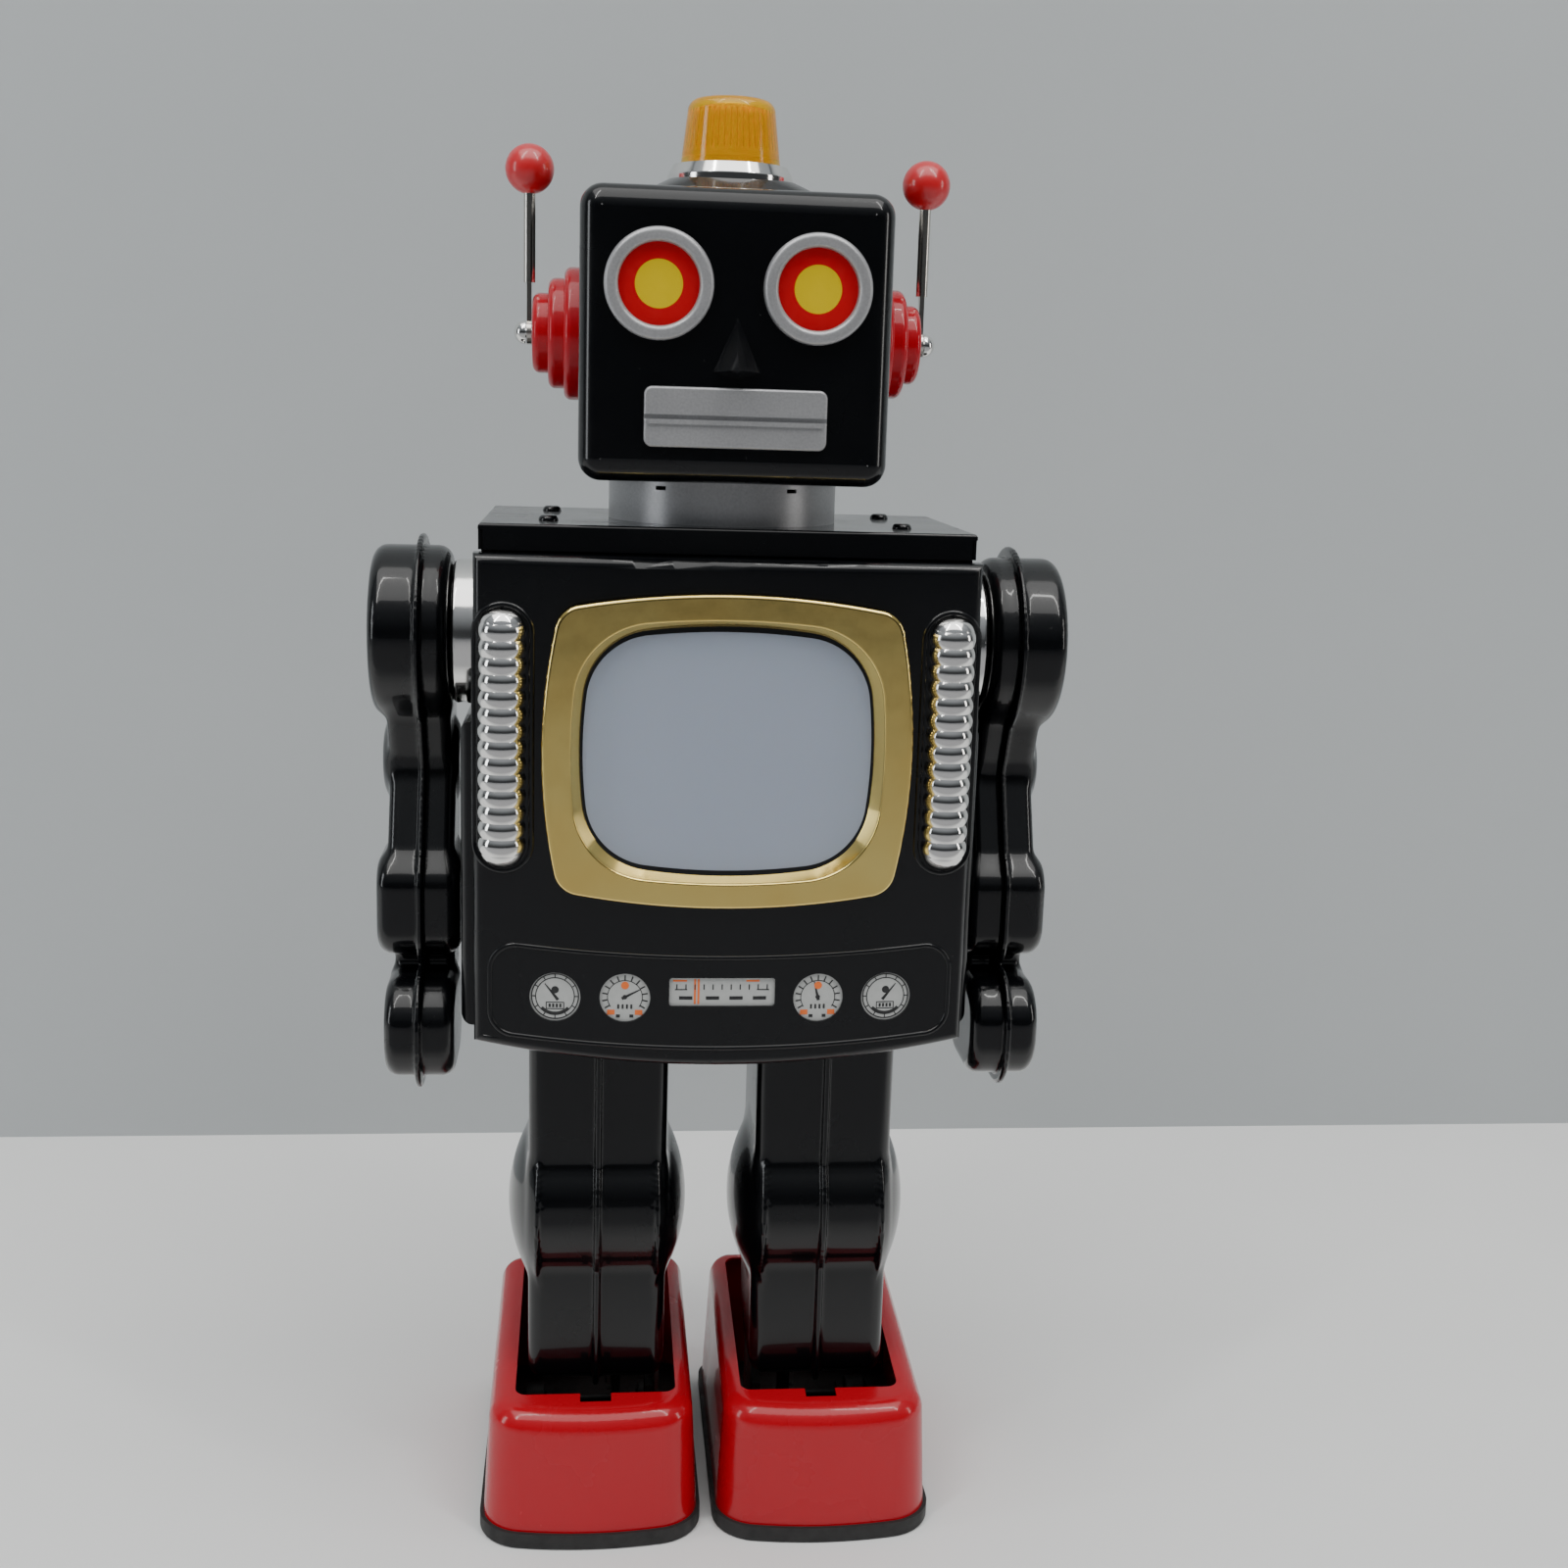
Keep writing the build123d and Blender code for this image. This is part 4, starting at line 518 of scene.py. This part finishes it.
tick_tree = bpy.data.node_groups.new("ticks_round_dial", "GeometryNodeTree")
tick_tree.interface.new_socket("Geometry", in_out="INPUT", socket_type="NodeSocketGeometry")
for label, kind, value in (("Count", "NodeSocketInt", 12), ("Radius", "NodeSocketFloat", 0.005),
                           ("Length", "NodeSocketFloat", 0.001), ("Width", "NodeSocketFloat", 0.0003),
                           ("Step", "NodeSocketFloat", 0.5), ("Start", "NodeSocketFloat", 0.0),
                           ("Finish", "NodeSocketMaterial", None)):
    nodes_input(tick_tree, label, kind, value)
tick_tree.interface.new_socket("Geometry", in_out="OUTPUT", socket_type="NodeSocketGeometry")
kinds = ("NodeGroupInput", "GeometryNodeMeshLine", "GeometryNodeMeshGrid", "ShaderNodeCombineXYZ",
         "GeometryNodeTransform", "GeometryNodeInputIndex", "ShaderNodeMath", "ShaderNodeMath",
         "ShaderNodeCombineXYZ", "GeometryNodeInstanceOnPoints", "GeometryNodeRealizeInstances",
         "GeometryNodeSetMaterial", "NodeGroupOutput")
into, line, tick, shift, move, index, times, plus, spin, place, real, paint, out = [
    tick_tree.nodes.new(kind) for kind in kinds]
line.mode = "OFFSET"
line.inputs["Offset"].default_value = (0, 0, 0)
tick.inputs["Vertices X"].default_value = 2
tick.inputs["Vertices Y"].default_value = 2
times.operation, plus.operation = "MULTIPLY", "ADD"
for start, end in ((into.outputs["Count"], line.inputs["Count"]),
                   (into.outputs["Length"], tick.inputs["Size X"]),
                   (into.outputs["Width"], tick.inputs["Size Y"]),
                   (into.outputs["Radius"], shift.inputs["X"]),
                   (tick.outputs["Mesh"], move.inputs["Geometry"]),
                   (shift.outputs[0], move.inputs["Translation"]),
                   (index.outputs[0], times.inputs[0]), (into.outputs["Step"], times.inputs[1]),
                   (times.outputs[0], plus.inputs[0]), (into.outputs["Start"], plus.inputs[1]),
                   (plus.outputs[0], spin.inputs["Z"]), (line.outputs[0], place.inputs["Points"]),
                   (move.outputs[0], place.inputs["Instance"]), (spin.outputs[0], place.inputs["Rotation"]),
                   (place.outputs[0], real.inputs[0]), (real.outputs[0], paint.inputs["Geometry"]),
                   (into.outputs["Finish"], paint.inputs["Material"]), (paint.outputs[0], out.inputs[0])):
    tick_tree.links.new(start, end)


def bar_shape(x, z, width, height):
    """Upright box about a place; shapes are in mm, in a dial's own plane."""
    return [[(x - width / 2, z - height / 2), (x + width / 2, z - height / 2),
             (x + width / 2, z + height / 2), (x - width / 2, z + height / 2)]]


def spot_shape(x, z, radius):
    """Filled round spot."""
    turns = [n * math.pi / 10 for n in range(20)]
    return [[(x + radius * math.cos(turn), z + radius * math.sin(turn)) for turn in turns]]


def arc_shape(inner, outer, start, end, parts):
    """Ring or part of one round the dial's middle, as short four-sided pieces."""
    turns = [math.radians(start + (end - start) * n / parts) for n in range(parts + 1)]
    return [[(inner * math.cos(a), inner * math.sin(a)), (outer * math.cos(a), outer * math.sin(a)),
             (outer * math.cos(b), outer * math.sin(b)), (inner * math.cos(b), inner * math.sin(b))]
            for a, b in zip(turns, turns[1:])]


def needle_shape(length, tail, width, degrees):
    """Pointer that tapers to its tip, leaning so far from upright."""
    lean = math.radians(degrees)
    side, along = (math.cos(lean), -math.sin(lean)), (math.sin(lean), math.cos(lean))
    tip = width * 0.15
    return [[(side[0] * w + along[0] * a, side[1] * w + along[1] * a)
             for w, a in ((-width / 2, -tail), (width / 2, -tail), (tip, length), (-tip, length))]]


def ticks(count, radius, length, width, step, start):
    """Faces of a row of ticks round a dial, from the node tree."""
    blank = bpy.data.meshes.new("tick_start")
    holder = baked("ticks_scratch", tick_tree, blank, black_ink, None, None, Count=count, Radius=radius,
                   Length=length, Width=width, Step=math.radians(step), Start=math.radians(start),
                   Finish=black_ink)
    shapes = [[tuple(holder.data.vertices[v].co.xy) for v in face.vertices] for face in holder.data.polygons]
    bpy.data.objects.remove(holder)
    return shapes


def print_on_card(name, placed, material):
    """Ink that follows the card: shapes in a dial's own plane, each set at its dial."""
    pad = bmesh.new()
    for (x0, z0), shapes in placed:
        for shape in shapes:
            pad.faces.new([pad.verts.new((x0 + x * MM, 0, z0 + z * MM)) for x, z in shape])
    bmesh.ops.remove_doubles(pad, verts=pad.verts, dist=0.000001)
    for vert in pad.verts:
        vert.co.y = card_y(vert.co.x)
    bmesh.ops.recalc_face_normals(pad, faces=pad.faces)
    raised = bmesh.ops.extrude_face_region(pad, geom=pad.faces[:], use_keep_orig=True)
    for item in raised["geom"]:
        if isinstance(item, bmesh.types.BMVert):
            item.co.y -= ink_height
    bmesh.ops.recalc_face_normals(pad, faces=pad.faces)
    mesh = bpy.data.meshes.new(name)
    pad.to_mesh(mesh)
    mesh.materials.append(material)
    made = bpy.data.objects.new(name, mesh)
    bpy.context.scene.collection.objects.link(made)
    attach(made, "chassis")


ink_height, ink_sink = 0.00006, 0.00001
scale_z, dial_z, inner_dial_x, outer_dial_x = 0.1576, 0.1560, 0.0246, 0.0422
windows = (0, 0.0130), (0.0185, 0.0300), (0.0365, 0.048)
depsgraph = bpy.context.evaluated_depsgraph_get()
card_points = []
for n in range(-21, 22):
    x = n * 0.0024
    if any(near <= abs(x) < far for near, far in windows):
        card_points.append((x, surface_y(x, scale_z if abs(x) < windows[0][1] else dial_z)))
card_bow = np.polyfit([x for x, _ in card_points], [y for _, y in card_points], 2)


def card_y(x):
    """Depth of the bowed card behind its windows."""
    return float(np.polyval(card_bow, x)) + ink_sink


black_marks, orange_marks = [], []
for sign in (-1, 1):
    outer_dial = (arc_shape(5.75, 6.05, 0, 360, 48) + arc_shape(4.75, 5.0, -60, 240, 40) +
                  arc_shape(4.1, 5.0, 222, 318, 16) + ticks(12, 5.4, 0.9, 0.26, 30, 0) +
                  spot_shape(0.0, 1.7, 0.95) + needle_shape(4.2, 1.2, 0.8, 38 * sign) +
                  [bar_shape(x, z, w, h)[0] for x, z, w, h in (
                      (0, -1.6, 4.6, 0.24), (0, -3.3, 4.6, 0.24), (-2.2, -2.45, 0.24, 1.5),
                      (2.2, -2.45, 0.24, 1.5), (-1.35, -2.45, 0.55, 0.95), (-0.45, -2.45, 0.55, 0.95),
                      (0.45, -2.45, 0.55, 0.95), (1.35, -2.45, 0.55, 0.95))])
    black_marks += [((sign * outer_dial_x, dial_z), outer_dial)]
    inner_dial = (ticks(13, 5.1, 1.4, 0.34, 20, -30) + arc_shape(4.3, 4.5, -35, 215, 36) +
                  needle_shape(4.4, 0.9, 0.8, 62 if sign < 0 else -14) + spot_shape(0, 0, 0.6) +
                  [bar_shape(x, -2.5, 0.5, 1.2)[0] for x in (-1.65, -0.55, 0.55, 1.65)] +
                  [bar_shape(x, -5.0, 1.0, 0.8)[0] for x in (-1.7, 1.7)])
    black_marks += [((sign * inner_dial_x, dial_z), inner_dial)]
    orange_marks += [((sign * inner_dial_x, dial_z), spot_shape(0, 3.1, 1.0) +
                      [bar_shape(x, -4.0, 1.9, 1.3)[0] for x in (-3.5, 3.5)])]
tuning = ([bar_shape(0, 0.5, 24.0, 0.3)[0]] +
          [bar_shape(-11.5 + 2.3 * n, 1.2, 0.3, 1.4)[0] for n in range(11)] +
          [bar_shape(x, -1.7, 3.4, 0.9)[0] for x in (-9.2, -2.4, 3.6, 9.6)])
black_marks += [((0, scale_z), tuning)]
orange_marks += [((0, scale_z), [bar_shape(-6.9, 0, 0.5, 6.6)[0], bar_shape(-6.0, 0, 0.5, 6.6)[0],
                                 bar_shape(-1.5, 2.85, 22.0, 0.5)[0]])]
print_on_card("dial_print_black", black_marks, black_ink)
print_on_card("dial_print_orange", orange_marks, orange_ink)

# ---------------------------------------------------------------- arms
# Each arm is two pressed halves, crimped together along a narrow flange that runs all round.
# The pressing is one soft form: shoulder drum, tapering upper arm, elbow boss, forearm,
# wrist drum and hand, so it is made as a smooth field and skinned. Fields are in mm.


def skin(name, field, low, high, step, material):
    """Closed mesh round the inside of a distance field, on a grid of the given step, in mm."""
    axes = [np.arange(a, b + step, step) for a, b in zip(low, high)]
    grid = np.meshgrid(*axes, indexing="ij")
    value = field(*grid)
    cells = tuple(n - 1 for n in value.shape)
    total = np.zeros(cells + (3,))
    count = np.zeros(cells)
    corners = [(i, j, k) for i in (0, 1) for j in (0, 1) for k in (0, 1)]
    for a in corners:
        for axis in range(3):
            if a[axis]:
                continue
            b = tuple(1 if n == axis else a[n] for n in range(3))
            start = value[tuple(slice(o, o + c) for o, c in zip(a, cells))]
            end = value[tuple(slice(o, o + c) for o, c in zip(b, cells))]
            cut = (start < 0) != (end < 0)
            share = np.where(cut, start / np.where(cut, start - end, 1), 0)
            for n in range(3):
                total[..., n] += np.where(cut, a[n] + (share if n == axis else 0), 0)
            count += cut
    active = count > 0
    index = np.full(cells, -1)
    index[active] = np.arange(active.sum())
    places = np.argwhere(active) + total[active] / count[active][:, None]
    points = (np.array([a[0] for a in axes]) + places * step) * MM
    inside = value < 0
    quads = []
    for axis in range(3):
        u, v = [n for n in range(3) if n != axis]
        if axis == 1:
            u, v = v, u
        core = [slice(1, -1)] * 3
        core[axis] = slice(0, -1)
        after = list(core)
        after[axis] = slice(1, None)
        one, two = inside[tuple(core)], inside[tuple(after)]
        for leaving, turned in ((one & ~two, False), (two & ~one, True)):
            spots = np.argwhere(leaving) + np.array([0 if n == axis else 1 for n in range(3)])
            ring = []
            for du, dv in ((1, 1), (0, 1), (0, 0), (1, 0)):
                shift = np.zeros(3, int)
                shift[u], shift[v] = du, dv
                ring.append(index[tuple((spots - shift).T)])
            ring = np.stack(ring, 1)
            quads.append(ring[:, ::-1] if turned else ring)
    faces = np.concatenate(quads)
    mesh = bpy.data.meshes.new(name)
    mesh.from_pydata(points.tolist(), [], faces.tolist())
    mesh.shade_smooth()
    mesh.materials.append(material)
    made = bpy.data.objects.new(name, mesh)
    bpy.context.scene.collection.objects.link(made)
    return made


def mirrored(piece, name):
    """Copy of a piece on the other side of the toy."""
    mesh = piece.data.copy()
    mesh.transform(Matrix.Scale(-1, 4, (1, 0, 0)))
    mesh.flip_normals()
    made = bpy.data.objects.new(name, mesh)
    bpy.context.scene.collection.objects.link(made)
    return made


def disc_field(y, z, at, radius):
    """Distance to a disc's edge, seen from the side of the toy."""
    return np.hypot(y - at[0], z - at[1]) - radius


def slab_field(y, z, at, half_y, half_z, corner):
    """Distance to the edge of a box with round corners."""
    dy, dz = np.abs(y - at[0]) - half_y + corner, np.abs(z - at[1]) - half_z + corner
    return np.minimum(np.maximum(dy, dz), 0) + np.hypot(np.maximum(dy, 0), np.maximum(dz, 0)) - corner


def taper_field(y, z, start, end, start_radius, end_radius):
    """Strip with round ends whose width changes from start to end."""
    run = (end[0] - start[0], end[1] - start[1])
    share = ((y - start[0]) * run[0] + (z - start[1]) * run[1]) / (run[0] ** 2 + run[1] ** 2)
    share = np.clip(share, 0, 1)
    across = np.hypot(y - start[0] - share * run[0], z - start[1] - share * run[1])
    return across - start_radius - share * (end_radius - start_radius)


def pressed(outline, x, depth, edge):
    """Outline pressed out to a depth, with its edge rounded."""
    side, top = outline + edge, x - depth + edge
    return np.minimum(np.maximum(side, top), 0) + np.hypot(np.maximum(side, 0), np.maximum(top, 0)) - edge


def melt(a, b, width):
    """Union of two fields with a soft valley between them."""
    share = np.clip(0.5 + 0.5 * (b - a) / width, 0, 1)
    return b + (a - b) * share - width * share * (1 - share)


def crimped(body, outline, x, stand, folded):
    """Half body with the crimped flange on its rim; the folded half wraps over the other."""
    flange, flange_edge, fold, fold_edge, fillet = 0.7, 0.35, 0.85, 0.4, 1.0
    rim = melt(body, pressed(outline - stand, x, flange, flange_edge), fillet)
    half = np.maximum(rim, -x)
    return np.minimum(half, pressed(outline - stand, np.abs(x), fold, fold_edge)) if folded else half


def arm_field(depths, folded):
    """Field of one half of an arm, with X measured out from the seam."""
    def field(x, y, z):
        elbow, wrist, hand = (shoulder_z - drop for drop in (elbow_drop, wrist_drop, hand_drop))
        parts = [(disc_field(y, z, (0, shoulder_z), shoulder_r), depths[0], 3.6),
                 (taper_field(y, z, (0, shoulder_z), (8, elbow), 18, 11), depths[1], 3.0),
                 (disc_field(y, z, (8.5, elbow), 12), depths[2], 5),
                 (taper_field(y, z, (8, elbow), (-1, wrist + 9), 10.5, 13), depths[3], 3.0),
                 (slab_field(y, z, (-2.5, wrist), 15.5, 14, 9), depths[4], 4),
                 (slab_field(y, z, (2, (wrist + hand) / 2), 10, 8, 3), depths[5] - 1.2, 2.5),
                 (slab_field(y, z, (-10.5, hand), 17.5, 13.5, 12), depths[5], 3.6)]
        body = pressed(parts[0][0], x, parts[0][1], parts[0][2])
        outline = parts[0][0]
        for flat, depth, edge in parts[1:]:
            body = melt(body, pressed(flat, x, depth, edge), arm_fillet)
            outline = np.minimum(outline, flat)
        return crimped(body, outline, x, arm_seam, folded)
    return field


def pressed_halves(name, base, seam, body, node, inward):
    """Left half set at its seam and its mirror on the right, in place of their CAD nodes."""
    if inward:
        base.data.transform(Matrix.Scale(-1, 4, (1, 0, 0)))
        base.data.flip_normals()
    base.data.transform(Matrix.Translation((seam * MM, 0, 0)))
    for piece, side in ((base, "left"), (mirrored(base, "right_" + name), "right")):
        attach(piece, f"{side}_{body}")
        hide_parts(f"{side}_{node}")


skin_step, under_seam = 0.7, -1.05
arm_low, arm_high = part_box("left_arm_outer")
arm_seam, shoulder_r, arm_fillet = 3.0, 22.5, 2.2
elbow_drop, wrist_drop, hand_drop = 35.5, 71.5, 103.5
shoulder_z = arm_high.z / MM - shoulder_r - arm_seam
for half_name, depths, node, inward in (
        ("arm_front_half", (12.6, 9.2, 11.2, 9.0, 11.6, 9.0), "arm_outer", False),
        ("arm_body_half", (7.7, 7.4, 8.6, 8.4, 10.2, 9.3), "arm_inner", True)):
    half = skin("left_" + half_name, arm_field(depths, not inward), (under_seam, -33, 121), (16, 26, 271),
                skin_step, black_enamel)
    pressed_halves(half_name, half, arm_low.x / MM, "arm", node, inward)

# ---------------------------------------------------------------- legs
# The legs are made like the arms: two pressed halves each, with a square thigh, a knee
# drum with a round boss on either side, and a square shin that drops into the foot.


def leg_field(x, y, z, folded):
    """Field of one half of a leg, with X measured out from the seam."""
    middle = (leg_top + leg_bottom) / 2
    shaft = slab_field(y, z, (0, middle), leg_deep, (leg_top - leg_bottom) / 2, leg_corner)
    drum = disc_field(y, z, (0, knee_z), drum_r)
    body = melt(pressed(shaft, x, leg_wide, 4.5), pressed(drum, x, leg_wide, 4.2), 1.6)
    dome_radius = (knee_boss ** 2 + boss_stand ** 2) / (2 * boss_stand)
    centre = leg_wide + boss_stand - dome_radius
    dome = np.sqrt((x - centre) ** 2 + y ** 2 + (z - knee_z + boss_drop) ** 2) - dome_radius
    body = melt(body, np.maximum(dome, leg_wide - 3 - x), 1.2)
    return crimped(body, np.minimum(shaft, drum), x, leg_seam, folded)


leg_low, leg_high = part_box("left_leg_outer")
leg_seam = 2.4
leg_top = leg_high.z / MM
leg_bottom = leg_low.z / MM + leg_seam
leg_wide, leg_deep, leg_corner = 18.8, 20, 3
knee_z, drum_r, knee_boss, boss_drop = 85.5, 24.5, 22.0, 1.8
boss_stand = (leg_high.x - leg_low.x) / MM - leg_wide
for half_name, node, inward in (("leg_side_half", "leg_outer", False), ("leg_inner_half", "leg_inner", True)):
    half = skin("left_" + half_name, lambda x, y, z: leg_field(x, y, z, not inward),
                (under_seam, -29, 32), (26.5, 29, leg_top + 1), skin_step, black_enamel)
    pressed_halves(half_name, half, leg_low.x / MM, "leg", node, inward)
